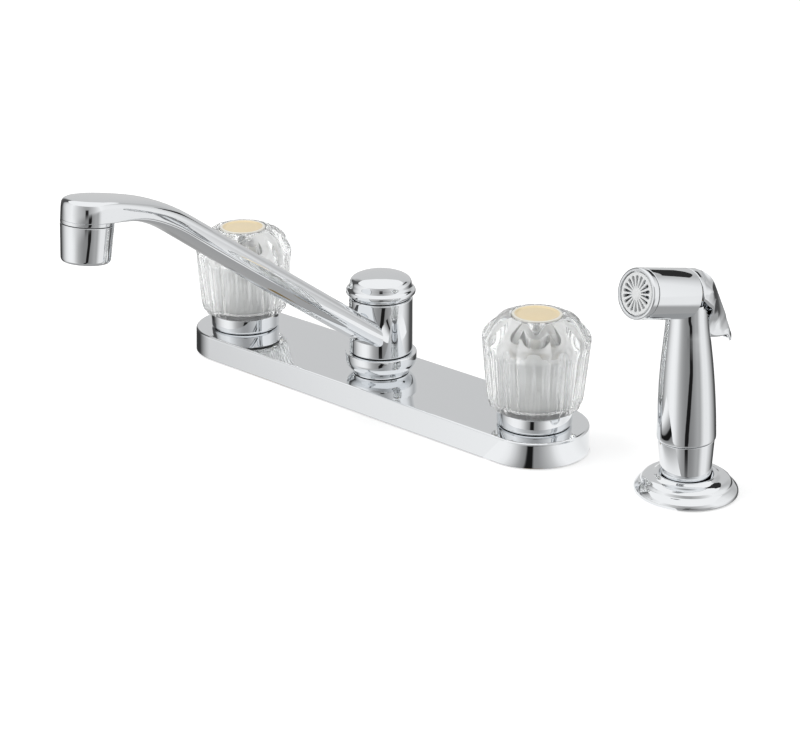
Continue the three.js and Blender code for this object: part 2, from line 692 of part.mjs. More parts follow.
function centre() {
  add('deckplate', deckplate(), chrome);
  add('base_gasket', gasket(), rubber);
  add('centre_post', centrePost(), brass);
  add('lower_post_oring', oring(POST_RADIUS, lowerOring()), rubber);
  add('upper_post_oring', oring(POST_RADIUS, upperOring()), rubber);
  add('hub_base_ring', baseRing(), chrome);
  add('spout_glide_ring', glideRing(), nylon);
  add('spout_cap', spoutCap(), chrome);
  add('spray_nipple', sprayNipple(), brass);
  add('spray_riser', sprayRiser(), copper);
  add('diverter_piston', diverterPiston(), nylon);
  add('diverter_spring', diverterSpring(), steel);
}

// ---- spout -----------------------------------------------------------------------------
const radians = THREE.MathUtils.degToRad;
const endRise = radians(ARM_END_ANGLE);
// The straight part leaves the hub at the arm's root and is tangent to the bend.
const root = hubBottom + ARM_ROOT;
const bendCentre = {
  out: REACH + BEND_RADIUS * Math.sin(endRise),
  up: SPOUT_HEIGHT - BEND_RADIUS * Math.cos(endRise),
};
const rise = Math.atan2(bendCentre.up - root, bendCentre.out)
  + Math.asin(BEND_RADIUS / Math.hypot(bendCentre.out, bendCentre.up - root));
const bendLength = BEND_RADIUS * (rise - endRise);
const bendStart = {
  out: bendCentre.out - BEND_RADIUS * Math.sin(rise),
  up: bendCentre.up + BEND_RADIUS * Math.cos(rise),
};
const straight = bendStart.out / Math.cos(rise);
const armLength = straight + bendLength;

// The arm's centre line by distance from the hub axis: a straight rise, then one long bend.
function armPoint(distance) {
  if (distance < straight) {
    const share = distance / straight;
    return {
      out: bendStart.out * share,
      up: bendStart.up - (straight - distance) * Math.sin(rise),
      angle: rise,
    };
  }
  const angle = rise - (distance - straight) / BEND_RADIUS;
  return {
    out: bendCentre.out - BEND_RADIUS * Math.sin(angle),
    up: bendCentre.up + BEND_RADIUS * Math.cos(angle),
    angle,
  };
}

// A point of the arm's section, `across` it and `above` the centre line, at a distance.
function onArm(distance, across, above) {
  const { out, up, angle } = armPoint(distance);
  return new THREE.Vector3(
    across,
    -(out - above * Math.sin(angle)),
    up + above * Math.cos(angle),
  );
}

// Half of the section from the crown to the belly: crowned top, flat side, rounded underside.
function armSection(share) {
  const { lerp, smoothstep } = THREE.MathUtils;
  const half = lerp(ARM_WIDTH / 2, OUTLET_RADIUS - 0.2, share);
  const belly = lerp(ARM_BELLY, ARM_TIP_BELLY, smoothstep(share, 0.35, 0.85));
  const crown = lerp(ARM_CROWN, BOSS_TOP, smoothstep(share, 0.8, 1));
  const right = [
    [0, crown], [0.4, crown * 0.98], [0.74, crown * 0.88], [0.94, crown * 0.56],
    [1, crown * 0.1], [0.98, -belly * 0.6], [0.76, -belly * 0.82], [0.38, -belly * 0.96],
    [0, -belly],
  ].map(([across, above]) => [across * half, above]);
  const left = right.slice(1, -1).reverse().map(([across, above]) => [-across, above]);
  return [...right, ...left];
}

// Stations along the arm: one inside the hub, then evenly spaced ones round the bend.
function armStations(start, bendSteps) {
  const steps = Array.from({ length: bendSteps + 1 }, (_, i) => i / bendSteps);
  return [start, ...steps.map((share) => straight + bendLength * share)];
}

function arm() {
  return loft(armStations(HUB_RADIUS * 0.45, 8).map((distance) => armSection(distance / armLength)
    .map(([across, above]) => onArm(distance, across, above))));
}

function waterway() {
  const section = polygon(8, WATERWAY_RADIUS, Math.PI / 8);
  return loft(armStations(HUB_RADIUS * 0.5, 5).map((distance) => section
    .map(([across, above]) => onArm(distance, across, above - 1))));
}

// The outlet boss, shell and aerator stand on one axis that leans out at the foot.
const atOutlet = (body) => placed(body, {
  turnX: -ARM_END_ANGLE, y: -REACH, z: SPOUT_HEIGHT,
});
const jointLevel = -BOSS_FOOT;

function outletBoss() {
  const top = BOSS_TOP;
  const radius = OUTLET_RADIUS;
  return atOutlet(turned([
    [0, jointLevel], [radius, jointLevel], [radius, top - 3], [radius - 0.7, top - 1.2],
    [radius - 2.8, top], [0, top + 0.4],
  ], FINE));
}

function spout() {
  const nozzleRadius = threadRadius() - CLEAR;
  const hub = turned([
    [0, hubBottom], [HUB_RADIUS - 0.4, hubBottom], [HUB_RADIUS, hubBottom + 0.4],
    [HUB_RADIUS, hubTop - 0.4], [HUB_RADIUS - 0.4, hubTop], [0, hubTop],
  ], FINE);
  const bores = join(
    hole(hubBore, hubBottom - 1, hubTop + 1, FINE),
    rod(HUB_CHAMBER, chamberBottom, chamberTop),
    hole(HUB_RADIUS - GLIDE_INSET + CLEAR, hubBottom - 1, glideBottom + GLIDE_THICK + CLEAR, FINE),
  );
  const nozzle = atOutlet(rod(nozzleRadius, jointLevel - NOZZLE_THREAD_LENGTH, jointLevel + 1));
  const outletBore = atOutlet(rod(nozzleRadius - 2.4, jointLevel - SHELL_LENGTH, 1.4));
  return cut(join(hub, arm(), outletBoss(), nozzle), bores, outletBore, waterway());
}

const threadRadius = () => OUTLET_FOOT_RADIUS - SHELL_WALL + 0.9;

function outletShell() {
  const top = jointLevel - CLEAR;
  const foot = jointLevel - SHELL_LENGTH;
  const bore = threadRadius();
  return atOutlet(turned([
    [around(bore, FINE), top], [OUTLET_RADIUS, top], [OUTLET_FOOT_RADIUS, foot + 1],
    [OUTLET_FOOT_RADIUS - 0.4, foot], [bore - 1.2, foot], [bore - 1.2, foot + 1.6],
    [around(bore, FINE), foot + 2.2],
  ], FINE));
}

function aeratorWasher() {
  const top = jointLevel - NOZZLE_THREAD_LENGTH - CLEAR;
  const outer = threadRadius() - CLEAR;
  return atOutlet(ring(outer - 2.8, outer, top - WASHER_THICK, top));
}

// The insert: a stepped plastic cup with a cross-slotted disc at its foot.
function aeratorInsert() {
  const top = jointLevel - NOZZLE_THREAD_LENGTH - WASHER_THICK - 2 * CLEAR;
  const foot = jointLevel - SHELL_LENGTH + 2.2 + CLEAR;
  const outer = threadRadius() - CLEAR;
  const slots = [-3, 0, 3].map((x) => prism(
    [[x - 0.7, -5], [x + 0.7, -5], [x + 0.7, 5], [x - 0.7, 5]],
    foot - 1,
    top + 1,
  ));
  const cup = cut(
    turned([[0, foot], [outer - 1.4, foot], [outer, foot + 1], [outer, top], [0, top]]),
    rod(outer - 2, foot + 1.6, top + 1),
    ...slots,
  );
  return atOutlet(cup);
}

function spoutPieces() {
  add('spout', spout(), chrome);
  add('outlet_shell', outletShell(), chrome);
  add('aerator_washer', aeratorWasher(), rubber);
  add('aerator_insert', aeratorInsert(), nylon);
}

// ---- spray holder ----------------------------------------------------------------------
const collarRadius = (height) => COLLAR_RADIUS - COLLAR_TAPER * (COLLAR_TOP - height);
const collarFoot = () => collarRadius(-COLLAR_DEPTH);

function sprayHolder() {
  const lip = around(collarRadius(HOLDER_HEIGHT) + HOLDER_PLAY, FINE);
  const seatFloor = around(collarFoot() + HOLDER_PLAY, FINE);
  const rim = HOLDER_RADIUS;
  const recess = GASKET_THICK + CLEAR;
  const recessEdge = around(rim - PLATE_WALL, FINE);
  return turned([
    [seatFloor, -HOLDER_SHANK_LENGTH], [HOLDER_SHANK_RADIUS, -HOLDER_SHANK_LENGTH],
    [HOLDER_SHANK_RADIUS, recess], [recessEdge, recess], [recessEdge, PLATE_LIFT],
    [rim, PLATE_LIFT], [rim, 1.6], [rim - 1, 3.7], [rim - 2.8, 4.6], [rim - 3.6, 6.4],
    [rim - 5.2, 7.3], [rim - 7.2, 7.8], [rim - 9, HOLDER_HEIGHT - 0.4],
    [lip + 1, HOLDER_HEIGHT], [lip, HOLDER_HEIGHT - 0.8], [seatFloor, -COLLAR_DEPTH],
  ], FINE);
}

function holderGasket() {
  const outer = HOLDER_RADIUS - PLATE_WALL - CLEAR;
  return ring(HOLDER_SHANK_RADIUS + CLEAR, outer, 0, GASKET_THICK, FINE);
}

// ---- spray coupling --------------------------------------------------------------------
function sprayCoupling() {
  const foot = -COLLAR_DEPTH;
  const nut = foot - COUPLING_NUT_LENGTH;
  const groove = spigotOringHeight;
  const inner = oringGroove(SPIGOT_RADIUS);
  const body = turned([
    [HOSE_BORE, nut], [collarFoot() - 1.4, nut], [collarFoot() - 0.6, foot - 1],
    [collarFoot(), foot], [COLLAR_RADIUS, COLLAR_TOP], [SPIGOT_RADIUS, COLLAR_TOP],
    [SPIGOT_RADIUS, groove - 1], [inner, groove - 1], [inner, groove + 1],
    [SPIGOT_RADIUS, groove + 1], [SPIGOT_RADIUS, COLLAR_TOP + SPIGOT_LENGTH],
    [HOSE_BORE, COLLAR_TOP + SPIGOT_LENGTH],
  ], FINE);
  return cut(body, hole(HOSE_SOCKET_RADIUS, nut - 1, foot + 2));
}

const spigotOringHeight = COLLAR_TOP + SPIGOT_LENGTH - 4;

function hoseWasher() {
  const top = -COLLAR_DEPTH + 2 - CLEAR;
  return ring(HOSE_BORE, HOSE_SOCKET_RADIUS - CLEAR, top - 2, top);
}

// ---- spray handle ----------------------------------------------------------------------
// The head's own axes: Z runs along the barrel to the nozzle, X is across, Y points up.
const atHead = (body) => placed(body, { turnX: 90 - HEAD_TILT, z: HEAD_HEIGHT });
const gripBottom = COLLAR_TOP + SWIVEL_GAP;
const nozzleSeat = HEAD_LENGTH - NOZZLE_RING_LENGTH;
const chamberBack = 12;
const stubRadius = HEAD_RADIUS - CAP_WALL - 2 * CLEAR;

function grip() {
  const top = HEAD_HEIGHT - 2;
  const along = (share) => THREE.MathUtils.lerp(gripBottom, top, share);
  const lost = GRIP_RADIUS - GRIP_NECK_RADIUS;
  return turned([
    [0, gripBottom], [GRIP_RADIUS - 0.4, gripBottom], [GRIP_RADIUS, gripBottom + 0.6],
    [GRIP_RADIUS - 0.2 * lost, along(0.38)], [GRIP_RADIUS - 0.4 * lost, along(0.55)],
    [GRIP_RADIUS - 0.68 * lost, along(0.7)], [GRIP_RADIUS - 0.94 * lost, along(0.83)],
    [GRIP_NECK_RADIUS, top], [0, top],
  ], FINE);
}

function sprayHandle() {
  const stubBack = -3;
  const barrel = atHead(join(
    turned([
      [0, SEAM_OFFSET], [HEAD_RADIUS - 0.3, SEAM_OFFSET], [HEAD_RADIUS, SEAM_OFFSET + 0.3],
      [HEAD_RADIUS, nozzleSeat - 0.3], [HEAD_RADIUS - 0.3, nozzleSeat], [0, nozzleSeat],
    ], FINE),
    rod(stubRadius, stubBack, SEAM_OFFSET + 1, FINE),
  ));
  // the lever's skirts swing in this slot in the back of the neck
  const slotHalf = LEVER_SKIRT_WIDTH / 2 + 2 * CLEAR;
  const slotLow = HEAD_HEIGHT - LEVER_DROP - 1;
  const slot = prism([
    [-slotHalf, 4.6], [slotHalf, 4.6], [slotHalf, 20], [-slotHalf, 20],
  ], slotLow, HEAD_HEIGHT);
  // and its cap and shoulders swing behind the top of the neck
  const capRoom = join(
    prism([[-20, 1], [20, 1], [20, 20], [-20, 20]], HEAD_HEIGHT - 8, HEAD_HEIGHT),
    prism([[-20, 4.4], [20, 4.4], [20, 20], [-20, 20]], HEAD_HEIGHT - 12, HEAD_HEIGHT - 7),
  );
  const chamber = atHead(hole(HEAD_RADIUS - NOZZLE_WALL, chamberBack, HEAD_LENGTH));
  const plungerHole = atHead(hole(PLUNGER_RADIUS + 1.8, stubBack - 1, chamberBack + 1, 10));
  const spigotHole = hole(SPIGOT_RADIUS + CLEAR, gripBottom - 1, gripBottom + SPIGOT_LENGTH + 1);
  const channel = rod(3, gripBottom, HEAD_HEIGHT - 1, 8);
  return cut(
    join(cut(grip(), capRoom), barrel),
    slot,
    chamber,
    plungerHole,
    spigotHole,
    channel,
    pinHole(),
  );
}

const acrossHead = (body) => atHead(placed(body, { turnY: 90, y: PIN_RISE }));
const pinHole = () => acrossHead(hole(PIN_RADIUS + CLEAR, -HEAD_RADIUS, HEAD_RADIUS, 8));
const leverPin = () => acrossHead(rod(PIN_RADIUS, -PIN_LENGTH / 2, PIN_LENGTH / 2, 8));

// The ring: a threaded tube behind, and a rim in front with a recess for the face.
function nozzleRing() {
  const front = HEAD_LENGTH;
  const back = nozzleSeat + CLEAR;
  const thread = HEAD_RADIUS - NOZZLE_WALL - CLEAR;
  const bore = around(thread - 1.4, FINE);
  const recess = around(HEAD_RADIUS - NOZZLE_LIP, FINE);
  return atHead(turned([
    [bore, back - 6], [thread, back - 6], [thread, back], [HEAD_RADIUS - 0.3, back],
    [HEAD_RADIUS, back + 0.3], [HEAD_RADIUS, front - 0.8], [HEAD_RADIUS - 0.8, front],
    [recess, front], [recess, front - FACE_DEPTH], [bore, front - FACE_DEPTH],
  ], FINE));
}

// The face: a disc with a ring of narrow slots round its hub, on a short tube in the bore.
function nozzleFace() {
  const tube = HEAD_RADIUS - NOZZLE_WALL - 1.4 - 2 * CLEAR;
  const rim = HEAD_RADIUS - NOZZLE_LIP - CLEAR;
  const seat = HEAD_LENGTH - FACE_DEPTH + CLEAR;
  const front = HEAD_LENGTH - 0.4;
  const slots = Array.from({ length: NOZZLE_SLOTS }, (_, k) => placed(prism(
    [[2.6, -0.2], [NOZZLE_SLOT_REACH, -0.6], [NOZZLE_SLOT_REACH, 0.6], [2.6, 0.2]],
    seat - 1,
    front + 1,
  ), { turnZ: (360 * k) / NOZZLE_SLOTS }));
  const disc = turned([
    [0, seat - 6], [tube, seat - 6], [tube, seat], [rim, seat], [rim, front - 0.3],
    [rim - 0.3, front], [0, front - 0.3],
  ], FINE);
  const inside = rod(tube - 1.2, seat - 7, seat);
  return atHead(cut(disc, inside, ...slots));
}

// ---- lever, pin and plunger ------------------------------------------------------------
// Points of the lever's side view are [back, up] from where the two axes cross.
function leverSide() {
  const tip = [LEVER_REACH, -LEVER_DROP];
  const seamTop = [-SEAM_OFFSET, HEAD_RADIUS + 1];
  const outline = new THREE.Shape();
  outline.moveTo(seamTop[0], seamTop[1]);
  outline.lineTo(4, HEAD_RADIUS - 0.6);
  outline.bezierCurveTo(11, 9.5, 14.5, -1, tip[0] - 2.4, tip[1] + 7.6);
  outline.lineTo(tip[0] - 0.2, tip[1] + 2.2);
  outline.quadraticCurveTo(tip[0], tip[1], tip[0] - 1.6, tip[1]);
  outline.quadraticCurveTo(tip[0] - 2.6, tip[1], tip[0] - 3, tip[1] + 1.4);
  outline.lineTo(tip[0] - 3.6, tip[1] + 3.6);
  outline.lineTo(9.6, tip[1] + 3.9);
  outline.lineTo(6.6, -6.6);
  outline.lineTo(2.6, -3.6);
  outline.lineTo(-SEAM_OFFSET + 1.5, 0);
  outline.lineTo(-SEAM_OFFSET + 1.8, PIN_RISE);
  return outline;
}

function leverSolid(outline, width) {
  const geometry = new THREE.ExtrudeGeometry(outline, {
    depth: width, bevelEnabled: false, curveSegments: 5,
  });
  // the side view is drawn in x = back, y = up; it turns to stand across the spray
  geometry.translate(0, 0, -width / 2).rotateX(Math.PI / 2).rotateZ(Math.PI / 2);
  return solid(geometry.translate(0, 0, HEAD_HEIGHT));
}

function sprayLever() {
  const body = leverSolid(leverSide(), 2 * HEAD_RADIUS);
  const barrelLike = atHead(rod(HEAD_RADIUS, -40, SEAM_OFFSET - CLEAR, FINE));
  // below the cap the lever narrows to its tip, with rounded shoulders
  const tip = LEVER_REACH + 2;
  const tail = loft([
    [-LEVER_DROP - 2, 4.2, tip], [-12, LEVER_SKIRT_WIDTH / 2, tip - 7], [-2, HEAD_RADIUS, tip - 12],
  ].map(([up, half, back]) => [
    [-half, -2], [half, -2], [half, back - 2.6], [half * 0.8, back - 0.4],
    [-half * 0.8, back - 0.4], [-half, back - 2.6],
  ].map(([x, y]) => new THREE.Vector3(x, y, HEAD_HEIGHT + up))));
  // seen from above, the cap draws in behind the barrel to the lever's own width
  const drawnIn = [
    [HEAD_RADIUS, -4], [HEAD_RADIUS, 5], [0.91 * HEAD_RADIUS, 7.5], [0.74 * HEAD_RADIUS, 10.2],
    [0.6 * HEAD_RADIUS, 13], [0.52 * HEAD_RADIUS, 20], [0.46 * HEAD_RADIUS, LEVER_REACH + 3],
  ];
  const plan = prism(
    [...drawnIn, ...drawnIn.map(([x, y]) => [-x, y]).reverse()],
    HEAD_HEIGHT - LEVER_DROP - 3,
    HEAD_HEIGHT + HEAD_RADIUS + 3,
  );
  const outside = body.intersect(join(barrelLike, tail)).intersect(plan);
  const hollow = leverSolid(leverHollow(), LEVER_SKIRT_WIDTH - 2 * CAP_WALL);
  const stubRoom = atHead(rod(HEAD_RADIUS - CAP_WALL, -9, SEAM_OFFSET + 1, FINE));
  const pad = atHead(rod(2.2, -14, -9.2, 10));
  return join(cut(outside, stubRoom, hollow, pinHole()), pad.intersect(body));
}

// The hollow of the lever follows its outline one wall further in.
function leverHollow() {
  const outline = new THREE.Shape();
  const tipX = LEVER_REACH - CAP_WALL - 2.2;
  outline.moveTo(0, 2);
  outline.lineTo(9.5, 2);
  outline.quadraticCurveTo(13, -6, tipX - 2, -LEVER_DROP + 9);
  outline.lineTo(tipX, -LEVER_DROP + 2);
  outline.lineTo(2, -LEVER_DROP + 2);
  outline.lineTo(0, -8);
  return outline;
}

function sprayPlunger() {
  return atHead(turned([
    [0, -8.9], [PLUNGER_RADIUS + 1.4, -8.9], [PLUNGER_RADIUS + 1.4, -8.1], [PLUNGER_RADIUS, -8.1],
    [PLUNGER_RADIUS, chamberBack + 0.6], [PLUNGER_HEAD_RADIUS, chamberBack + 0.9],
    [PLUNGER_HEAD_RADIUS, chamberBack + 2.6], [0, chamberBack + 2.6],
  ], 12));
}

const plungerSpring = () => atHead(coil(PLUNGER_RADIUS + 0.9, 0.4, -7.8, -1.4, SPRING_TURNS));

// The spray leans about a point in the holder's bore, and its head is turned on its grip.
function leaningFrame() {
  const heading = radians(SPRAY_LEAN_HEADING);
  const plumb = new THREE.Vector3(0, 0, 1);
  const leaning = new THREE.Vector3(Math.cos(heading), Math.sin(heading), 0)
    .multiplyScalar(Math.tan(radians(SPRAY_LEAN)))
    .setZ(1)
    .normalize();
  const pivot = new THREE.Group();
  pivot.position.z = LEAN_PIVOT;
  pivot.quaternion.setFromUnitVectors(plumb, leaning);
  const turnedFrame = new THREE.Group();
  turnedFrame.position.z = -LEAN_PIVOT;
  turnedFrame.rotation.z = -radians(SPRAY_YAW);
  pivot.add(turnedFrame);
  return { pivot, turnedFrame };
}

function spray() {
  const holder = new THREE.Group();
  holder.position.set(SPRAY_X, SPRAY_Y, 0);
  faucet.add(holder);
  const nutBore = HOLDER_SHANK_RADIUS + CLEAR;
  const nut = wingNut(nutBore, HOLDER_NUT_RADIUS, -DECK_THICKNESS, FINE);
  add('spray_holder', sprayHolder(), chrome, holder);
  add('holder_gasket', holderGasket(), rubber, holder);
  add('holder_nut', nut, nylon, holder);
  const { pivot, turnedFrame: group } = leaningFrame();
  holder.add(pivot);
  add('spray_coupling', sprayCoupling(), chrome, group);
  add('hose_washer', hoseWasher(), rubber, group);
  add('coupling_oring', oring(SPIGOT_RADIUS, spigotOringHeight), rubber, group);
  add('spray_handle', sprayHandle(), chrome, group);
  add('nozzle_ring', nozzleRing(), chrome, group);
  add('nozzle_face', nozzleFace(), whitePlastic, group);
  add('spray_lever', sprayLever(), chrome, group);
  add('lever_pin', leverPin(), steel, group);
  add('spray_plunger', sprayPlunger(), brass, group);
  add('plunger_spring', plungerSpring(), steel, group);
}

centre();
inlet('hot', -side);
inlet('cold', side);
spoutPieces();
spray();

export default faucet;
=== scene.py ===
from math import asin, atan2, cos, hypot, pi, radians, sin, sqrt, tan

import bmesh
import bpy
from mathutils import Matrix, Vector


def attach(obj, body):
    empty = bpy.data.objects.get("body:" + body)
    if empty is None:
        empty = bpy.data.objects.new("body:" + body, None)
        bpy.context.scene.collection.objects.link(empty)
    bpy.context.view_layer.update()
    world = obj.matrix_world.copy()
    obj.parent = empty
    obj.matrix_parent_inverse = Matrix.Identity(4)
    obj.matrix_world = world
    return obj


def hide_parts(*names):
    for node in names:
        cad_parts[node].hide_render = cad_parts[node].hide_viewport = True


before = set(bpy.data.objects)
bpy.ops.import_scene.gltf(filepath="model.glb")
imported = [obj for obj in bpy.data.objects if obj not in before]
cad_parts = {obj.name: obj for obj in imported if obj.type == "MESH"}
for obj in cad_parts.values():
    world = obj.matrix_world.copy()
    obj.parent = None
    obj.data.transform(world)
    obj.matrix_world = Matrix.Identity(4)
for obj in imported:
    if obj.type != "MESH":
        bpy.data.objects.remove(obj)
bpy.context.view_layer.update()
MM = 0.001

# ---- camera ----------------------------------------------------------------------------
# A long lens about a metre away, front right of the faucet and a little above it. Its place
# and length were fitted to the photo from the 203.2 mm between the two knobs.
CAMERA_TURN = radians(42.37)
CAMERA_RISE = radians(21.58)
CAMERA_DISTANCE = 1030.0
CAMERA_TARGET = Vector((13.26, 0, 17.66))
LENS = 90.37
FAR_END = 20  # metres that it sees

back = Vector((
    sin(CAMERA_TURN) * cos(CAMERA_RISE),
    -cos(CAMERA_TURN) * cos(CAMERA_RISE),
    sin(CAMERA_RISE),
))
right = Vector((cos(CAMERA_TURN), sin(CAMERA_TURN), 0))
near = Vector((back.x, back.y, 0)).normalized()
bpy.context.scene.view_settings.view_transform = "Standard"
camera = bpy.data.objects.new("camera", bpy.data.cameras.new("camera"))
bpy.context.scene.collection.objects.link(camera)
bpy.context.scene.camera = camera
camera.data.lens = LENS
camera.data.clip_end = FAR_END
camera.matrix_world = Matrix.Translation((CAMERA_TARGET + CAMERA_DISTANCE * back) * MM) @ (
    Matrix((right, back.cross(right), back)).transposed().to_4x4()
)

# ---- studio light ----------------------------------------------------------------------
# A white studio: its walls are the backdrop for the camera, the metal and the clear knobs,
# and one large soft lamp overhead gives the pale parts their shape.
ROOM_LIGHT = 0.72  # of white, so that with the lamp a colour renders as it is written
LAMP_SIDE = 1.6  # metres, as its place is
LAMP_WATTS = 17
LAMP_PLACE = Vector((-0.9, -1.0, 1.9))


def linear(colour):
    """An sRGB hex colour as linear red, green, blue and alpha."""
    channels = [int(colour[i:i + 2], 16) / 255 for i in (1, 3, 5)]
    return [c / 12.92 if c <= 0.04045 else ((c + 0.055) / 1.055) ** 2.4 for c in channels] + [1]


def fill(node, inputs):
    """Sets a shader node's inputs, each to a value or to the output that it is linked to."""
    for name, value in inputs.items():
        if isinstance(value, bpy.types.NodeSocket):
            node.id_data.links.new(value, node.inputs[name])
        else:
            node.inputs[name].default_value = value


def add(tree, kind, settings=None, inputs=None):
    """A new shader node with its settings, values and links."""
    made = tree.nodes.new("ShaderNode" + kind)
    for name, value in (settings or {}).items():
        setattr(made, name, value)
    fill(made, inputs or {})
    return made


def straight_look(tree):
    """1 for what the camera sees, directly, in a mirror or through something clear."""
    paths = add(tree, "LightPath").outputs
    mirrored = add(tree, "Math", {"operation": "MAXIMUM"}, {
        0: paths["Is Glossy Ray"], 1: paths["Is Transmission Ray"],
    }).outputs[0]
    return add(tree, "Math", {"operation": "MAXIMUM"}, {
        0: mirrored, 1: paths["Is Camera Ray"],
    }).outputs[0]


world = bpy.data.worlds.new("white studio")
world.use_nodes = True
bpy.context.scene.world = world
tree = world.node_tree
tree.nodes.clear()
room = add(tree, "Background", None, {"Color": (1, 1, 1, 1), "Strength": ROOM_LIGHT})
backdrop = add(tree, "Background", None, {"Color": (1, 1, 1, 1), "Strength": 1})
seen = add(tree, "MixShader", None, {
    0: straight_look(tree), 1: room.outputs[0], 2: backdrop.outputs[0],
})
add(tree, "OutputWorld", None, {"Surface": seen.outputs[0]})

lamp = bpy.data.objects.new("soft lamp", bpy.data.lights.new("soft lamp", "AREA"))
lamp.data.size = LAMP_SIDE
lamp.data.energy = LAMP_WATTS
lamp.location = LAMP_PLACE
lamp.rotation_euler = (-LAMP_PLACE).to_track_quat("-Z", "Y").to_euler()
lamp.visible_glossy = False
bpy.context.scene.collection.objects.link(lamp)

# ---- light tent ------------------------------------------------------------------------
# Chrome is a mirror and shows only what stands round it, so it was photographed in a tent:
# white cloth at the sides, greyer in front, a dark slit for the lens and dark flags behind.
# Only mirrors see the tent.
TENT_RADIUS = 2.4  # metres
# degrees round from the camera's side, to its right, and how bright the cloth is there
LOW_CLOTH = [
    (-180, 0.60), (-168, 0.50), (-158, 0.10), (-148, 0.04), (-128, 0.05), (-120, 0.18),
    (-109, 0.40), (-97, 0.66), (-85, 0.87), (-70, 1.0), (-56, 1.0), (-46, 0.88), (-37, 0.64),
    (-28, 0.45), (-18, 0.34), (-8, 0.28), (10, 0.24), (24, 0.31), (38, 0.42), (48, 0.42),
    (56, 0.70), (64, 0.90), (84, 0.92), (96, 0.70), (108, 0.48), (119, 0.28), (127, 0.10),
    (150, 0.06), (160, 0.20), (168, 0.50), (180, 0.60),
]
HIGH_CLOTH = [
    (-180, 0.64), (-158, 0.64), (-148, 0.10), (-120, 0.08), (-110, 0.50), (-90, 0.85), (-60, 1.0),
    (-30, 0.60), (-6, 0.40), (-3, 0.02), (6, 0.02), (9, 0.40), (30, 0.60), (60, 1.0), (95, 0.92),
    (108, 0.76), (118, 0.62), (128, 0.52), (137, 0.54), (145, 0.62), (180, 0.64),
]
GROUND_CLOTH = 0.38
GROUND_EDGE = -31.0  # degrees over the horizon where the ground cloth ends
CLOTH_JOIN = -4.0  # and where the low cloth ends
TENT_EDGE = 42.0  # and the high cloth, with the white ceiling over it
SLIT_HALF = 6.5  # half of the lens's slit, in degrees
SLIT_LOW = (-20.5, -1.5)  # the slit leans: how high and how far round its two ends are
SLIT_HIGH = (-9.0, 15.0)
SLIT_TOP = 7.0  # degrees over the horizon where the slit ends
SLIT_FRONT = 10  # it is closed, over that, within so many degrees of the camera's side
CLOSED_GREY = 0.4
SLIT_SOFT, CLOTH_SOFT, GROUND_SOFT = 1.5, 3, 6  # half of the width of each blurred edge


def new_material(name):
    """A new material, its node tree and the principled shader that it starts with."""
    made = bpy.data.materials.new(name)
    made.use_nodes = True
    return made, made.node_tree, made.node_tree.nodes["Principled BSDF"]


def stage_piece(name, points, faces, material, mirrors_only=True):
    """Something of the studio in metres, seen by everything or only in mirrors."""
    mesh = bpy.data.meshes.new(name)
    mesh.from_pydata(points, [], faces)
    mesh.materials.append(material)
    made = bpy.data.objects.new(name, mesh)
    bpy.context.scene.collection.objects.link(made)
    if mirrors_only:
        for ray in ("camera", "diffuse", "shadow", "transmission", "volume_scatter"):
            setattr(made, f"visible_{ray}", False)
    return made


def cloth(tree, share, pairs):
    """The grey at a share of the turn, from pairs of degrees and brightness."""
    ramp = add(tree, "ValToRGB", None, {"Fac": share})
    elements = ramp.color_ramp.elements
    while len(elements) < len(pairs):
        elements.new(1)
    for element, (turn, grey) in zip(elements, pairs):
        element.position = (turn + 180) / 360
        element.color = (grey, grey, grey, 1)
    return ramp.outputs[0]


def round_from_camera(tree, place):
    """How far round a place is from the camera's side, in radians and as a share of the turn."""
    aside, ahead = [
        add(tree, "VectorMath", {"operation": "DOT_PRODUCT"}, {0: place, 1: axis}).outputs["Value"]
        for axis in (right, near)
    ]
    bearing = add(tree, "Math", {"operation": "ARCTAN2"}, {0: aside, 1: ahead}).outputs[0]
    share = add(tree, "MapRange", None, {"Value": bearing, "From Min": -pi, "From Max": pi})
    return bearing, share.outputs[0]


def over(tree, height, edge, softness):
    """0 below an edge of so many degrees over the horizon and 1 above it."""
    return add(tree, "MapRange", {"interpolation_type": "SMOOTHSTEP"}, {
        "Value": height, "From Min": sin(radians(edge - softness)),
        "From Max": sin(radians(edge + softness)),
    }).outputs[0]


tent_cloth, tree, _ = new_material("tent cloth")
tree.nodes.clear()
place = add(tree, "TexCoord").outputs["Object"]
direction = add(tree, "VectorMath", {"operation": "NORMALIZE"}, {0: place}).outputs[0]
aloft = add(tree, "SeparateXYZ", None, {0: direction}).outputs[2]
bearing, round_tent = round_from_camera(tree, direction)
slit_middle = add(tree, "MapRange", None, {
    "Value": aloft, "From Min": sin(radians(SLIT_LOW[0])),
    "From Max": sin(radians(SLIT_HIGH[0])), "To Min": radians(SLIT_LOW[1]),
    "To Max": radians(SLIT_HIGH[1]),
}).outputs[0]
off_slit = add(tree, "Math", {"operation": "SUBTRACT"}, {0: bearing, 1: slit_middle}).outputs[0]
off_slit = add(tree, "Math", {"operation": "ABSOLUTE"}, {0: off_slit}).outputs[0]
beside_slit = add(tree, "MapRange", {"interpolation_type": "SMOOTHSTEP"}, {
    "Value": off_slit, "From Min": radians(SLIT_HALF - SLIT_SOFT),
    "From Max": radians(SLIT_HALF + SLIT_SOFT),
}).outputs[0]
low = add(tree, "Mix", {"data_type": "RGBA"}, {
    0: beside_slit, 6: linear("#1D1D1D"), 7: cloth(tree, round_tent, LOW_CLOTH),
}).outputs[2]
above_ground = add(tree, "Mix", {"data_type": "RGBA"}, {
    0: over(tree, aloft, GROUND_EDGE, GROUND_SOFT), 6: (*[GROUND_CLOTH] * 3, 1), 7: low,
}).outputs[2]
closed_cloth = [
    (turn, max(grey, CLOSED_GREY) if abs(turn) < SLIT_FRONT else grey)
    for turn, grey in HIGH_CLOTH
]
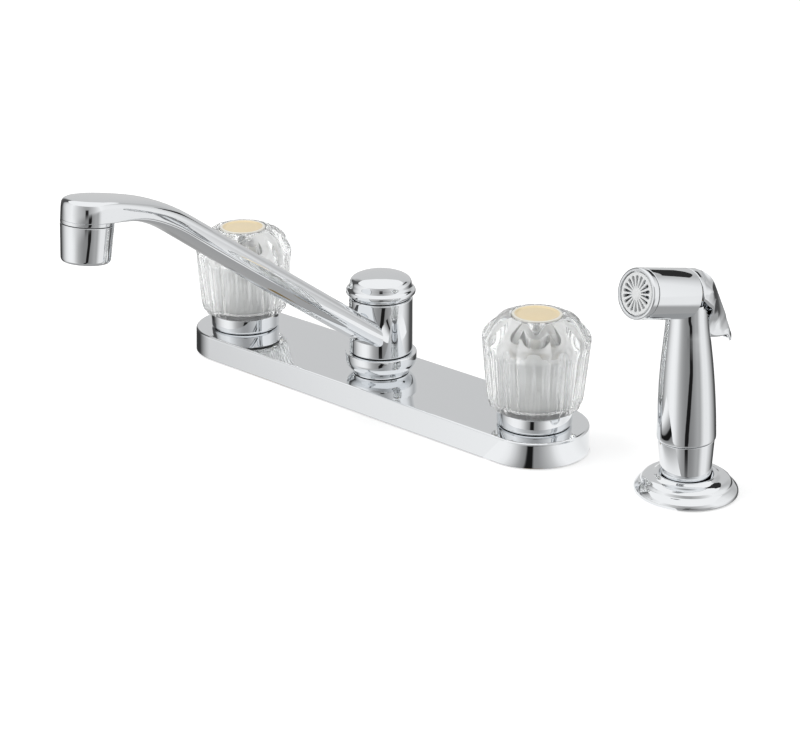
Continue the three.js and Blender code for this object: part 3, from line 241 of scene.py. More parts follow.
high = add(tree, "Mix", {"data_type": "RGBA"}, {
    0: over(tree, aloft, SLIT_TOP, CLOTH_SOFT), 6: cloth(tree, round_tent, HIGH_CLOTH),
    7: cloth(tree, round_tent, closed_cloth),
}).outputs[2]
whole = add(tree, "Mix", {"data_type": "RGBA"}, {
    0: over(tree, aloft, CLOTH_JOIN, CLOTH_SOFT), 6: above_ground, 7: high,
}).outputs[2]
glow = add(tree, "Emission", None, {"Color": whole, "Strength": 1})
add(tree, "OutputMaterial", None, {"Surface": glow.outputs[0]})

TENT_SIDES, TENT_RINGS = 96, 24
TENT_FOOT = -89.5
tent_points, tent_faces = [], []
for i in range(TENT_RINGS + 1):
    rise = radians(TENT_FOOT + (TENT_EDGE - TENT_FOOT) * i / TENT_RINGS)
    for k in range(TENT_SIDES):
        turn = 2 * pi * k / TENT_SIDES
        tent_points.append((
            TENT_RADIUS * cos(rise) * cos(turn), TENT_RADIUS * cos(rise) * sin(turn),
            TENT_RADIUS * sin(rise),
        ))
for i in range(TENT_RINGS):
    for k in range(TENT_SIDES):
        a, b = i * TENT_SIDES + k, i * TENT_SIDES + (k + 1) % TENT_SIDES
        tent_faces.append((a, b, b + TENT_SIDES, a + TENT_SIDES))
stage_piece("tent", tent_points, tent_faces, tent_cloth)

# Black cards behind the spray, which draw the dark lines along the top and the foot of its
# barrel.
black_card, tree, _ = new_material("black card")
tree.nodes.clear()
dark = add(tree, "Emission", None, {"Color": linear("#303030"), "Strength": 1})
add(tree, "OutputMaterial", None, {"Surface": dark.outputs[0]})


def looking(bearing, rise):
    """The direction so many degrees round from the camera's side and over the horizon."""
    flat = cos(radians(bearing)) * near + sin(radians(bearing)) * right
    return cos(radians(rise)) * flat + sin(radians(rise)) * Vector((0, 0, 1))


SPRAY_HEAD = Vector((0.180, -0.006, 0.105))  # in metres, as the cards' distance is
CARD_AWAY = 0.40
# each card's corners as the spray's head sees them
CARDS = {
    "card over the spray": (
        (162, 15), (152, 21), (128, 29), (134, 37), (158, 30), (170, 24),
    ),
    "card under the spray": (
        (140, -50), (150, -60), (170, -54), (178, -36), (168, -28), (153, -38),
    ),
}
for name, corners in CARDS.items():
    spots = [SPRAY_HEAD + CARD_AWAY * looking(*corner) for corner in corners]
    stage_piece(name, spots, [tuple(range(len(spots)))], black_card)

# Graded paper on the board round the plate's right end, with a strip of black tape, which
# its side and the ring on it mirror.
CENTRES = 203.2  # between the two inlets, in mm
SIDE = CENTRES / 2
PAPER_NEAR, PAPER_FAR = 27.6, 95
PAPER_LIFT = 0.2
PAPER_FROM, PAPER_TO = -62, 160  # degrees round the inlet
PAPER_STEPS = 40
# degrees round the inlet from the camera's side, and how bright the paper is there
PAPER_SHADE = [
    (-70, 1.0), (-49, 1.0), (-40, 0.93), (-31, 0.68), (-22, 0.38), (-15.5, 0.24), (-13.5, 0.01),
    (-5.5, 0.01), (-3.5, 0.28), (3, 0.32), (11, 0.45), (20, 0.62), (29, 0.88), (37, 1.0),
    (60, 1.0), (80, 0.88), (120, 1.0), (160, 1.0),
]
graded_paper, tree, _ = new_material("graded paper")
tree.nodes.clear()
place = add(tree, "TexCoord").outputs["Object"]
from_inlet = add(tree, "VectorMath", {"operation": "SUBTRACT"}, {
    0: place, 1: (SIDE * MM, 0, 0),
}).outputs[0]
shade = cloth(tree, round_from_camera(tree, from_inlet)[1], PAPER_SHADE)
glow = add(tree, "Emission", None, {"Color": shade, "Strength": 1})
add(tree, "OutputMaterial", None, {"Surface": glow.outputs[0]})
paper_points = []
for k in range(PAPER_STEPS + 1):
    out = looking(PAPER_FROM + (PAPER_TO - PAPER_FROM) * k / PAPER_STEPS, 0)
    for far in (PAPER_NEAR, PAPER_FAR):
        paper_points.append(Vector((SIDE + far * out.x, far * out.y, PAPER_LIFT)) * MM)
stage_piece(
    "paper round the plate", paper_points,
    [(2 * k, 2 * k + 1, 2 * k + 3, 2 * k + 2) for k in range(PAPER_STEPS)], graded_paper,
)

# ---- floor -----------------------------------------------------------------------------
# A plain white board at deck height, as white as the backdrop less the faucet's own soft
# shadow. Nothing stood under the chrome in the tent, so mirrors look past the board.
FLOOR_HALF = 4.0  # metres
FLOOR_LIFT = 0.42  # what is seen on top of the light that the board gets

board, tree, _ = new_material("matt white board")
tree.nodes.clear()
lift = add(tree, "Math", {"operation": "MULTIPLY"}, {0: straight_look(tree), 1: FLOOR_LIFT})
matt = add(tree, "BsdfDiffuse", None, {"Color": linear("#E8E8E8")})
glow = add(tree, "Emission", None, {"Color": (1, 1, 1, 1), "Strength": lift.outputs[0]})
both = add(tree, "AddShader", None, {0: matt.outputs[0], 1: glow.outputs[0]})
add(tree, "OutputMaterial", None, {"Surface": both.outputs[0]})
floor_corners = [
    (x * FLOOR_HALF, y * FLOOR_HALF, 0) for x, y in ((-1, -1), (1, -1), (1, 1), (-1, 1))
]
floor = stage_piece("floor", floor_corners, [(0, 1, 2, 3)], board, mirrors_only=False)
floor.visible_glossy = False

# ---- deck plate ------------------------------------------------------------------------
# A zinc shell, cast thin and open underneath, buffed and chrome plated. It covers the two
# outer holes and the middle hole of the sink, and everything else stands on it.
PLATE_FOOT = 27.35  # half of its width at the deck
PLATE_DRAFT = 0.4
PLATE_EDGE = 1.3
PLATE_TOP = 13.3
PLATE_LIFT = 0.4
PLATE_WALL = 2.4
PLATE_CHAMFER = 0.3
EDGE_STEPS = 10
NECK_HOLE = 12.8
POST_HOLE = 9.9
POLISH = 0.02  # the roughness of clean chrome
WELD = 1e-6  # metres within which points are one


def chrome_plate(name, peel=0.012, haze=0.03):
    """Polished chrome over a buffed casting: a clean mirror with the faint ripple that buffing
    leaves, and thin water haze that dulls it in patches of a few centimetres."""
    made, tree, principled = new_material(name)
    place = add(tree, "TexCoord").outputs["Object"]
    patches = add(tree, "TexNoise", None, {
        "Vector": place, "Scale": 1 / (25 * MM), "Detail": 4, "Roughness": 0.6,
    })
    dulled = add(tree, "MapRange", None, {
        "Value": patches.outputs["Fac"], "From Min": 0.35, "From Max": 0.75,
        "To Min": POLISH, "To Max": POLISH + haze,
    })
    ripple = add(tree, "TexNoise", None, {"Vector": place, "Scale": 1 / (7 * MM), "Detail": 1})
    bump = add(tree, "Bump", None, {
        "Height": ripple.outputs["Fac"], "Strength": 1, "Distance": peel * MM,
    })
    fill(principled, {
        "Base Color": linear("#EDEFF1"), "Metallic": 1, "Roughness": dulled.outputs[0],
        "Normal": bump.outputs[0],
    })
    return made


def piece(name, shapes, material, body, nodes=(), crease=32, at=Matrix()):
    """One named piece from point and face lists in mm, smooth except at creases."""
    mesh = bmesh.new()
    for points, faces in shapes:
        corners = [mesh.verts.new((at @ Vector(p)) * MM) for p in points]
        for face in faces:
            if len(set(face)) > 2:
                mesh.faces.new([corners[i] for i in face])
    bmesh.ops.remove_doubles(mesh, verts=mesh.verts, dist=WELD)
    bmesh.ops.dissolve_degenerate(mesh, edges=mesh.edges, dist=WELD / 10)
    bmesh.ops.recalc_face_normals(mesh, faces=mesh.faces)
    data = bpy.data.meshes.new(name)
    mesh.to_mesh(data)
    mesh.free()
    data.shade_smooth()
    data.set_sharp_from_angle(angle=radians(crease))
    data.materials.append(material)
    made = bpy.data.objects.new(name, data)
    bpy.context.scene.collection.objects.link(made)
    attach(made, body)
    if nodes:
        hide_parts(*nodes)
    return made


def stadium(radius, height, steps=32):
    """A loop with straight sides between two half circles round the inlets."""
    loop = []
    for end in (1, -1):
        for k in range(steps + 1):
            angle = pi * k / steps - pi / 2
            loop.append((end * (SIDE + radius * cos(angle)), end * radius * sin(angle), height))
    return loop


def skin(loops, closed=True):
    """Faces between loops of equal length, in order; the last joins the first if closed."""
    count = len(loops[0])
    faces = []
    for i in range(len(loops) if closed else len(loops) - 1):
        a, b = i * count, (i + 1) % len(loops) * count
        for k in range(count):
            n = (k + 1) % count
            faces.append((a + k, a + n, b + n, b + k))
    return [p for loop in loops for p in loop], faces


def circle(x, radius, height, sides=64):
    """A round loop about a point on the line through the inlets."""
    turns = [2 * pi * k / sides for k in range(sides)]
    return [(x + radius * cos(turn), radius * sin(turn), height) for turn in turns]


def flat_face(rims):
    """A flat face inside the first rim and outside the others, filled with triangles."""
    mesh = bmesh.new()
    for rim in rims:
        corners = [mesh.verts.new(p) for p in rim]
        for k, corner in enumerate(corners):
            mesh.edges.new((corner, corners[(k + 1) % len(corners)]))
    bmesh.ops.triangle_fill(mesh, use_beauty=True, edges=mesh.edges)
    mesh.verts.index_update()
    shape = (
        [tuple(v.co) for v in mesh.verts],
        [[v.index for v in f.verts] for f in mesh.faces],
    )
    mesh.free()
    return shape


plate_side = [(PLATE_FOOT - PLATE_CHAMFER, PLATE_LIFT), (PLATE_FOOT, PLATE_LIFT + PLATE_CHAMFER)]
for k in range(EDGE_STEPS + 1):
    turn = pi / 2 * k / EDGE_STEPS
    plate_side.append((
        PLATE_FOOT - PLATE_DRAFT - PLATE_EDGE * (1 - cos(turn)),
        PLATE_TOP - PLATE_EDGE * (1 - sin(turn)),
    ))
plate_inside = [
    (PLATE_FOOT - PLATE_WALL - PLATE_DRAFT, PLATE_TOP - PLATE_WALL),
    (PLATE_FOOT - PLATE_WALL, PLATE_LIFT),
]
plate_holes = [(-SIDE, NECK_HOLE), (0, POST_HOLE), (SIDE, NECK_HOLE)]
plate_shapes = [skin([stadium(r, z) for r, z in plate_inside + plate_side], closed=False)]
for radius, height in (
    (plate_side[-1][0], PLATE_TOP), (plate_inside[0][0], PLATE_TOP - PLATE_WALL),
):
    rims = [circle(x, hole, height) for x, hole in plate_holes]
    plate_shapes.append(flat_face([stadium(radius, height)] + rims))
for x, hole in plate_holes:
    plate_shapes.append(skin(
        [circle(x, hole, PLATE_TOP), circle(x, hole, PLATE_TOP - PLATE_WALL)], closed=False,
    ))
plate_chrome = chrome_plate("polished chrome on cast zinc")
piece("deck_plate_shell", plate_shapes, plate_chrome, "deck_unit", ["deckplate"])

# ---- flange rings ----------------------------------------------------------------------
# A brass ring under each knob, turned, polished and plated. It is screwed down over the
# inlet's neck and clamps the plate to the body below.
RING_RADIUS = 18.5
RING_FOOT = 17.7
ON_PLATE = 13.6
RING_TOP = 21.6


def rounded(profile, steps=5):
    """A closed profile of (radius, height, rounding): each rounded corner becomes a curve."""
    line = []
    for i, (radius, height, *rounding) in enumerate(profile):
        if not rounding:
            line.append((radius, height))
            continue
        here = Vector((radius, height))
        before = Vector(profile[i - 1][:2]) - here
        after = Vector(profile[(i + 1) % len(profile)][:2]) - here
        start = here + before.normalized() * min(rounding[0], 0.49 * before.length)
        end = here + after.normalized() * min(rounding[0], 0.49 * after.length)
        for k in range(steps + 1):
            t = k / steps
            line.append(tuple((1 - t) ** 2 * start + 2 * t * (1 - t) * here + t * t * end))
    return line


def turned(profile, sides=96, reach=None):
    """A closed profile turned about Z. reach gives the radius at an angle where it isn't round."""
    points, faces = [], []
    count = len(profile)
    for k in range(sides):
        angle = 2 * pi * k / sides
        for i, (radius, height) in enumerate(profile):
            r = reach(i, radius, height, angle) if reach else radius
            points.append((r * cos(angle), r * sin(angle), height))
    for k in range(sides):
        a, b = k * count, (k + 1) % sides * count
        for i in range(count):
            j = (i + 1) % count
            faces.append((a + i, b + i, b + j, a + j))
    return points, faces


flange_profile = rounded([
    (12.9, ON_PLATE), (RING_FOOT, ON_PLATE, 0.2), (RING_RADIUS, ON_PLATE + 1.0, 0.6),
    (RING_RADIUS, RING_TOP, 0.5), (RING_RADIUS - 0.7, RING_TOP + 0.1, 0.3),
    (12.9, RING_TOP + 0.3),
])
INLETS = (("hot", -SIDE), ("cold", SIDE))
ring_chrome = chrome_plate("polished chrome on turned brass", peel=0.004, haze=0.02)
for name, x in INLETS:
    piece(
        f"{name}_flange_cover", [turned(flange_profile)], ring_chrome, "deck_unit",
        [f"{name}_flange_ring"], at=Matrix.Translation((x, 0, 0)),
    )

# ---- painted shade under the knobs -----------------------------------------------------
# A black ring on each flange ring, reaching up into the knob's foot, is painted shade: it
# stands in for the shade in the gap under the knob, a dark line round the foot through the acrylic.
SHADE_RING_RADIUS = 18.3
SHADE_RING_TOP = 24.9

# painted shade: matt and nearly black, with a fine random speckle of tone and gloss
painted_shade_black, tree, principled = new_material("black moulded rubber")
place = add(tree, "TexCoord").outputs["Object"]
shade_ring_speckle = add(tree, "TexNoise", None, {"Vector": place, "Scale": 1 / (0.6 * MM), "Detail": 3})
tint = add(tree, "ValToRGB", None, {"Fac": shade_ring_speckle.outputs["Fac"]})
tint.color_ramp.elements[0].color = linear("#141516")
tint.color_ramp.elements[1].color = linear("#2B2C2E")
gloss = add(tree, "MapRange", None, {
    "Value": shade_ring_speckle.outputs["Fac"], "To Min": 0.45, "To Max": 0.7,
})
fill(principled, {"Base Color": tint.outputs[0], "Roughness": gloss.outputs[0]})
shade_ring_profile = rounded([
    (13.4, RING_TOP + 0.2), (SHADE_RING_RADIUS, RING_TOP - 0.3), (SHADE_RING_RADIUS, SHADE_RING_TOP, 0.2),
    (13.4, SHADE_RING_TOP),
])
# one ring of painted shade under each knob
for name, x in INLETS:
    piece(
        f"{name}_painted_shade_ring", [turned(shade_ring_profile)], painted_shade_black, "deck_unit",
        at=Matrix.Translation((x, 0, 0)),
    )

# ---- base ring -------------------------------------------------------------------------
# The brass ring that the spout turns over, plated as the flange rings are. It curves out
# from a narrow foot and hides the hole round the centre post.
BASE_FOOT = 14.6
BASE_RADIUS = 18.45
BASE_TOP = 24.7

base_profile = rounded([
    (9.95, ON_PLATE), (BASE_FOOT, ON_PLATE, 0.2), (BASE_FOOT + 0.3, ON_PLATE + 1.1, 1.1),
    (BASE_RADIUS - 1.5, ON_PLATE + 3.1, 2.2), (BASE_RADIUS, ON_PLATE + 6.0, 2.4),
    (BASE_RADIUS, BASE_TOP, 0.7), (9.95, BASE_TOP),
])
piece(
    "spout_base_cover", [turned(base_profile)], ring_chrome, "deck_unit",
    ["hub_base_ring"],
)

# ---- spout -----------------------------------------------------------------------------
# One brass casting, ground, polished and plated: a tube that turns on the post, and a low
# arm with a flattened top that runs out to a round boss over the outlet.
HUB_RADIUS = 16.3
HUB_BOTTOM = 25.1
HUB_TOP = 54.0
ARM_ROOT = 29.3
REACH = 185.0
SPOUT_HEIGHT = 142.6
ARM_END = radians(7.1)
BEND_RADIUS = 110.0
ARM_HALF = 12.0
ARM_CROWN = 6.4
CROWN_FROM = 0.8  # the share of the arm where its crown starts to sink to the boss's
ARM_BELLY = 6.2
ARM_TIP_BELLY = 4.8
BELLY_FROM, BELLY_BY = 0.35, 0.85  # the share over which the belly thins
OUTLET_RADIUS = 11.7
BOSS_TOP = 4.7
BOSS_FOOT = 6.4
BOSS_FROM, BOSS_BY = 0.86, 0.985  # the share of the arm over which it becomes the boss
ARM_START = 8  # from the hub's axis, inside the hub
ARM_STEPS = 72
CORNER_STEPS = 6
NOSE_STEPS = 40

bend_centre = (REACH + BEND_RADIUS * sin(ARM_END), SPOUT_HEIGHT - BEND_RADIUS * cos(ARM_END))
to_centre = hypot(bend_centre[0], bend_centre[1] - ARM_ROOT)
climb = atan2(bend_centre[1] - ARM_ROOT, bend_centre[0]) + asin(BEND_RADIUS / to_centre)
straight = (bend_centre[0] - BEND_RADIUS * sin(climb)) / cos(climb)
arm_length = straight + BEND_RADIUS * (climb - ARM_END)


def blended(low, high, share):
    """A smooth step from 0 to 1 as share goes from low to high."""
    t = min(max((share - low) / (high - low), 0), 1)
    return t * t * (3 - 2 * t)


def arm_half_section(share):
    """From crown to belly on one side: a flattened arm that becomes the boss's own top."""
    half = ARM_HALF + (OUTLET_RADIUS - ARM_HALF) * share
    crown = ARM_CROWN + (BOSS_TOP - ARM_CROWN) * blended(CROWN_FROM, 1, share)
    belly = ARM_BELLY + (ARM_TIP_BELLY - ARM_BELLY) * blended(BELLY_FROM, BELLY_BY, share)
    arm = [
        (0, crown), (0.4, 0.98 * crown), (0.74, 0.88 * crown), (0.95, 0.56 * crown),
        (1, 0.1 * crown), (0.99, -0.6 * belly), (0.78, -0.84 * belly), (0.38, -0.97 * belly),
        (0, -belly),
    ]
    boss = [
        (0, BOSS_TOP + 0.4), (0.4, BOSS_TOP + 0.3), (0.76, BOSS_TOP), (0.94, BOSS_TOP - 1.0),
        (1, BOSS_TOP - 2.8), (1, -ARM_TIP_BELLY), (0.8, -ARM_TIP_BELLY), (0.4, -ARM_TIP_BELLY),
        (0, -ARM_TIP_BELLY),
    ]
    mix = blended(BOSS_FROM, BOSS_BY, share)
    corners = [
        ((1 - mix) * a[0] + mix * b[0], (1 - mix) * a[1] + mix * b[1])
        for a, b in zip(arm, boss)
    ]
    mirrored = [(-corners[1][0], corners[1][1])] + corners + [(-corners[-2][0], corners[-2][1])]
    boss_corner = 1 + boss.index((1, -ARM_TIP_BELLY))
    curve = []
    for i in range(1, len(mirrored) - 1):
        here = Vector(mirrored[i])
        before, after = Vector(mirrored[i - 1]) - here, Vector(mirrored[i + 1]) - here
        # each corner is rounded over nearly half of its sides, the boss's lower one hardly
        rounding = 0.49 - 0.42 * mix * (i == boss_corner)
        start, end = here + rounding * before, here + rounding * after
        for k in range(CORNER_STEPS):
            t = (k + 0.5) / CORNER_STEPS
            p = (1 - t) ** 2 * start + 2 * t * (1 - t) * here + t * t * end
            if p.x >= 0:
                curve.append((p.x * half, p.y))
    return [(0, curve[0][1])] + curve + [(0, curve[-1][1])]


def on_arm(distance, across, over):
    """A point beside and over the arm's centre line, so far along it from the hub's axis."""
    if distance < straight:
        angle = climb
        out = distance * cos(climb)
        up = ARM_ROOT + distance * sin(climb)
    else:
        angle = climb - (distance - straight) / BEND_RADIUS
        out = bend_centre[0] - BEND_RADIUS * sin(angle)
        up = bend_centre[1] + BEND_RADIUS * cos(angle)
    return (across, -(out - over * sin(angle)), up + over * cos(angle))


arm_loops = []
for k in range(ARM_STEPS + 1):
    distance = ARM_START + (arm_length - ARM_START) * k / ARM_STEPS
    half = arm_half_section(distance / arm_length)
    loop = half + [(-x, y) for x, y in reversed(half[1:-1])]
    arm_loops.append([on_arm(distance, x, y) for x, y in loop])
arm_points, arm_faces = skin(arm_loops, closed=False)
arm_faces.append(tuple(range(len(arm_loops[0]))))

AT_OUTLET = Matrix.Translation((0, -REACH, SPOUT_HEIGHT)) @ Matrix.Rotation(-ARM_END, 4, "X")
boss_profile = arm_half_section(1)
boss_points, boss_faces = [], []
for k in range(NOSE_STEPS + 1):
    angle = pi * k / NOSE_STEPS
    boss_points += [
        AT_OUTLET @ Vector((r * cos(angle), -r * sin(angle), z)) for r, z in boss_profile
    ]
for k in range(NOSE_STEPS):
    for i in range(len(boss_profile) - 1):
        a, b = k * len(boss_profile) + i, (k + 1) * len(boss_profile) + i
        boss_faces.append((a, a + 1, b + 1, b))
boss_foot = turned(rounded([
    (0, -BOSS_FOOT), (OUTLET_RADIUS, -BOSS_FOOT, 0.25), (OUTLET_RADIUS, -ARM_TIP_BELLY),
    (0, -ARM_TIP_BELLY),
]))
spout_chrome = chrome_plate("polished chrome on cast brass", peel=0.02, haze=0.03)
piece(
    "spout_arm",
    [
        (arm_points, arm_faces), (boss_points, boss_faces),
        ([AT_OUTLET @ Vector(p) for p in boss_foot[0]], boss_foot[1]),
    ],
    spout_chrome, "spout", ["spout"], crease=50,
)
hub_profile = rounded([
    (10.05, HUB_BOTTOM), (HUB_RADIUS, HUB_BOTTOM, 0.7), (HUB_RADIUS, HUB_TOP, 0.9),
    (10.05, HUB_TOP),
])
piece("spout_hub", [turned(hub_profile)], spout_chrome, "spout")

# ---- outlet shell and aerator ----------------------------------------------------------
# A plated brass shell screwed up on the boss, slightly tapered. It holds a rubber washer
# and a nylon aerator, whose rings and bars show at its foot.
SHELL_TOP = -BOSS_FOOT - 0.3
SHELL_FOOT = -BOSS_FOOT - 17.0
FOOT_RADIUS = 10.9
SHELL_BORE = 10.0

shell_profile = rounded([
    (SHELL_BORE, SHELL_TOP), (OUTLET_RADIUS, SHELL_TOP, 0.35), (FOOT_RADIUS, SHELL_FOOT + 1.0, 0.8),
    (FOOT_RADIUS - 0.6, SHELL_FOOT, 0.5), (8.8, SHELL_FOOT, 0.2), (8.8, SHELL_FOOT + 1.6),
    (SHELL_BORE, SHELL_FOOT + 2.2),
])
piece(
    "outlet_sleeve", [turned(shell_profile)], ring_chrome, "spout", ["outlet_shell"],
    at=AT_OUTLET,
)

# ---- cap nut ---------------------------------------------------------------------------
# A turned brass nut with a raised band and a low dome, plated. It screws on the post,
# closes the diverter in, and keeps the spout down.
CAP_RADIUS = 15.7
CAP_BAND = 17.8
CAP_BOTTOM = 54.4
CAP_TOP = 66.8

cap_profile = rounded([
    (8.95, CAP_BOTTOM), (CAP_RADIUS - 0.5, CAP_BOTTOM), (CAP_RADIUS - 0.3, CAP_BOTTOM + 1.1, 0.5),
    (CAP_BAND, CAP_BOTTOM + 1.9, 0.7), (CAP_BAND, CAP_BOTTOM + 3.9, 0.9),
    (CAP_RADIUS + 0.3, CAP_BOTTOM + 5.2, 1.2), (CAP_RADIUS, CAP_TOP - 4.4, 0.8),
    (CAP_RADIUS - 0.9, CAP_TOP - 3.0, 1.0), (CAP_RADIUS * 0.72, CAP_TOP - 1.3, 3),
    (CAP_RADIUS * 0.38, CAP_TOP - 0.3, 3), (0, CAP_TOP), (0, CAP_TOP - 3), (8.95, CAP_TOP - 3),
])
piece("spout_cap_nut", [turned(cap_profile)], ring_chrome, "deck_unit", ["spout_cap"])

# ---- knobs -----------------------------------------------------------------------------
# Clear acrylic, injection moulded with ten lobes, twenty flutes and a hollow core. A boss
# inside holds the plastic insert that grips the stem's splines.
KNOB_FOOT = 22.6
KNOB_TOP = 69.3
LOBES, FLUTES = 10, 20
FINE_SHARE = 0.28  # of a flute's depth, in three finer ones along it
KNOB_SIDES = 240
REBATE_RADIUS = 18.9
REBATE_TOP = 25.5
CAVITY_RADIUS = 15.3
CAVITY_TOP = 53.6
SKIN_FROM = 58.5  # over this height all of the knob is polished outside
BUTTON_BOTTOM = 67.4
CORE_ROUGHNESS = 0.35
CORE_CLARITY = 0.6
SKIN_CLARITY = 0.9


def off_centre(tree, place):
    """How far a spot is from the nearer inlet's axis, in metres."""
    spot = add(tree, "SeparateXYZ", None, {0: place}).outputs
    out = add(tree, "Math", {"operation": "ABSOLUTE"}, {0: spot[0]}).outputs[0]
    out = add(tree, "Math", {"operation": "SUBTRACT"}, {0: out, 1: SIDE * MM}).outputs[0]
    flat = add(tree, "CombineXYZ", None, {0: out, 1: spot[1]}).outputs[0]
    return add(tree, "VectorMath", {"operation": "LENGTH"}, {0: flat}).outputs["Value"]


# PMMA bends light by 1.49. A trace of it scatters light, so the thick moulding looks milky
# beside glass, and faint flow lines from the mould lie under the gloss
acrylic, tree, principled = new_material("clear moulded acrylic")
place = add(tree, "TexCoord").outputs["Object"]
flow = add(tree, "TexNoise", None, {"Vector": place, "Scale": 1 / (5 * MM), "Detail": 3})
gloss = add(tree, "MapRange", None, {
    "Value": flow.outputs["Fac"], "To Min": 0.02, "To Max": 0.06,
})
# the outside is polished, the core that the mould's pin left is matt
height = add(tree, "SeparateXYZ", None, {0: place}).outputs[2]
outside_core = add(tree, "Math", {"operation": "MAXIMUM"}, {
    0: add(tree, "MapRange", None, {
        "Value": off_centre(tree, place), "From Min": (CAVITY_RADIUS + 0.2) * MM,
        "From Max": (CAVITY_RADIUS + 0.6) * MM,
    }).outputs[0],
    1: add(tree, "Math", {"operation": "GREATER_THAN"}, {
        0: height, 1: SKIN_FROM * MM,
    }).outputs[0],
}).outputs[0]
polish = add(tree, "Mix", None, {0: outside_core, 2: CORE_ROUGHNESS, 3: gloss.outputs[0]})
clarity = add(tree, "Mix", None, {0: outside_core, 2: CORE_CLARITY, 3: SKIN_CLARITY})
bump = add(tree, "Bump", None, {
    "Height": flow.outputs["Fac"], "Strength": 1, "Distance": 0.02 * MM,
})
fill(principled, {
    "Base Color": linear("#FCFDFD"), "IOR": 1.49, "Roughness": polish.outputs[0],
    "Transmission Weight": clarity.outputs[0], "Normal": bump.outputs[0],
})

# height, radius, depth of the lobes' hollows and of the flutes, from the crown down
KNOB_OUTSIDE = [
    (69.3, 13.2, 0.0, 0.0), (68.9, 14.9, 0.1, 0.0), (67.8, 17.6, 0.6, 0.0),
    (66.2, 20.3, 1.3, 0.0), (64.2, 22.7, 1.9, 0.0), (61.9, 24.7, 2.3, 0.0),
    (59.4, 26.0, 2.3, 0.0), (57.2, 26.3, 1.7, 0.1), (55.4, 26.2, 0.9, 0.6),
    (52.3, 25.9, 0.5, 1.0), (46.0, 25.3, 0.3, 1.1), (38.0, 24.5, 0.2, 1.2),
    (32.0, 23.9, 0.0, 1.3), (27.0, 23.3, 0.0, 1.3), (24.2, 22.5, 0.0, 1.2),
    (22.9, 21.5, 0.0, 0.8), (22.6, 20.8, 0.0, 0.4),
]


def smooth_row(rows, steps):
    """A smooth curve through rows of numbers, as rows with so many steps from each to the next."""
    line = []
    for i in range(len(rows) - 1):
        quad = [rows[max(i - 1, 0)], rows[i], rows[i + 1], rows[min(i + 2, len(rows) - 1)]]
        for k in range(steps):
            t = k / steps
            line.append(tuple(
                0.5 * (2 * b + (c - a) * t + (2 * a - 5 * b + 4 * c - d) * t * t
                       + (3 * b - a - 3 * c + d) * t ** 3)
                for a, b, c, d in zip(*quad)
            ))
    return line + [tuple(rows[-1])]


# the outside, then up the core, round the boss and down the button's seat to the crown
knob_outside = smooth_row(KNOB_OUTSIDE, 3)
knob_inside = rounded([
    (REBATE_RADIUS, KNOB_FOOT, 0.3), (REBATE_RADIUS, REBATE_TOP, 0.5),
    (CAVITY_RADIUS, REBATE_TOP, 0.4), (CAVITY_RADIUS, CAVITY_TOP - 3, 1.5),
    (CAVITY_RADIUS - 3, CAVITY_TOP, 1.5), (7.6, CAVITY_TOP, 0.6),
    (7.6, CAVITY_TOP - 12, 0.4), (5.72, CAVITY_TOP - 12), (5.72, CAVITY_TOP + 2.7),
    (2.25, CAVITY_TOP + 2.7), (2.25, CAVITY_TOP + 4.6), (4.15, CAVITY_TOP + 4.6),
    (4.15, BUTTON_BOTTOM - 0.3), (12.5, BUTTON_BOTTOM - 0.3), (12.5, KNOB_TOP - 0.2, 0.2),
])
knob_profile = [(r, z) for z, r, _, _ in knob_outside] + knob_inside


def knob_reach(i, radius, height, angle):
    """The outside's radius at an angle; the core is round."""
    if i >= len(knob_outside):
        return radius
    lobes, flutes = knob_outside[i][2:]
    hollow = abs(sin(LOBES / 2 * angle))
    broad, fine = abs(sin(FLUTES / 2 * angle)), abs(sin(3 * FLUTES / 2 * angle))
    return radius - lobes * hollow - flutes * ((1 - FINE_SHARE) * broad + FINE_SHARE * fine)


for name, x in INLETS:
    piece(
        f"{name}_crystal_knob", [turned(knob_profile, KNOB_SIDES, knob_reach)], acrylic,
        f"{name}_handle", [f"{name}_knob"], crease=30,
        at=Matrix.Translation((x, 0, 0)),
    )

# ---- index buttons ---------------------------------------------------------------------
# A snap-in plastic disc on each knob. Its middle is sunk within a raised rim and carries a
# pale gold satin film.
BUTTON_RADIUS = 12.2
BUTTON_TOP = 69.6
FILM_RADIUS = 10.6
FILM_END = 0.5  # over which the film fades out

# the film is a weak satin metal: warm, soft highlights and finely brushed
gold, tree, principled = new_material("pale gold satin film on plastic")
place = add(tree, "TexCoord").outputs["Object"]
stretched = add(tree, "Mapping", None, {"Vector": place, "Scale": (1, 12, 1)})
brushed = add(tree, "TexNoise", None, {
    "Vector": stretched.outputs[0], "Scale": 1 / (4 * MM), "Detail": 5, "Roughness": 0.7,
})
tint = add(tree, "ValToRGB", None, {"Fac": brushed.outputs["Fac"]})
tint.color_ramp.elements[0].color = linear("#EFD9A8")
tint.color_ramp.elements[1].color = linear("#FAE9C6")
# the film stops short of the rim, which is bare ivory plastic
bare = add(tree, "MapRange", None, {
    "Value": off_centre(tree, place), "From Min": FILM_RADIUS * MM,
    "From Max": (FILM_RADIUS + FILM_END) * MM,
}).outputs[0]
printed = add(tree, "Mix", {"data_type": "RGBA"}, {
    0: bare, 6: tint.outputs[0], 7: linear("#F5F2E8"),
}).outputs[2]
gloss = add(tree, "MapRange", None, {
    "Value": brushed.outputs["Fac"], "To Min": 0.28, "To Max": 0.42,
})
fill(principled, {
    "Base Color": printed, "Metallic": 0.25, "Roughness": gloss.outputs[0], "Coat Weight": 0.4,
    "Coat Roughness": 0.1,
})

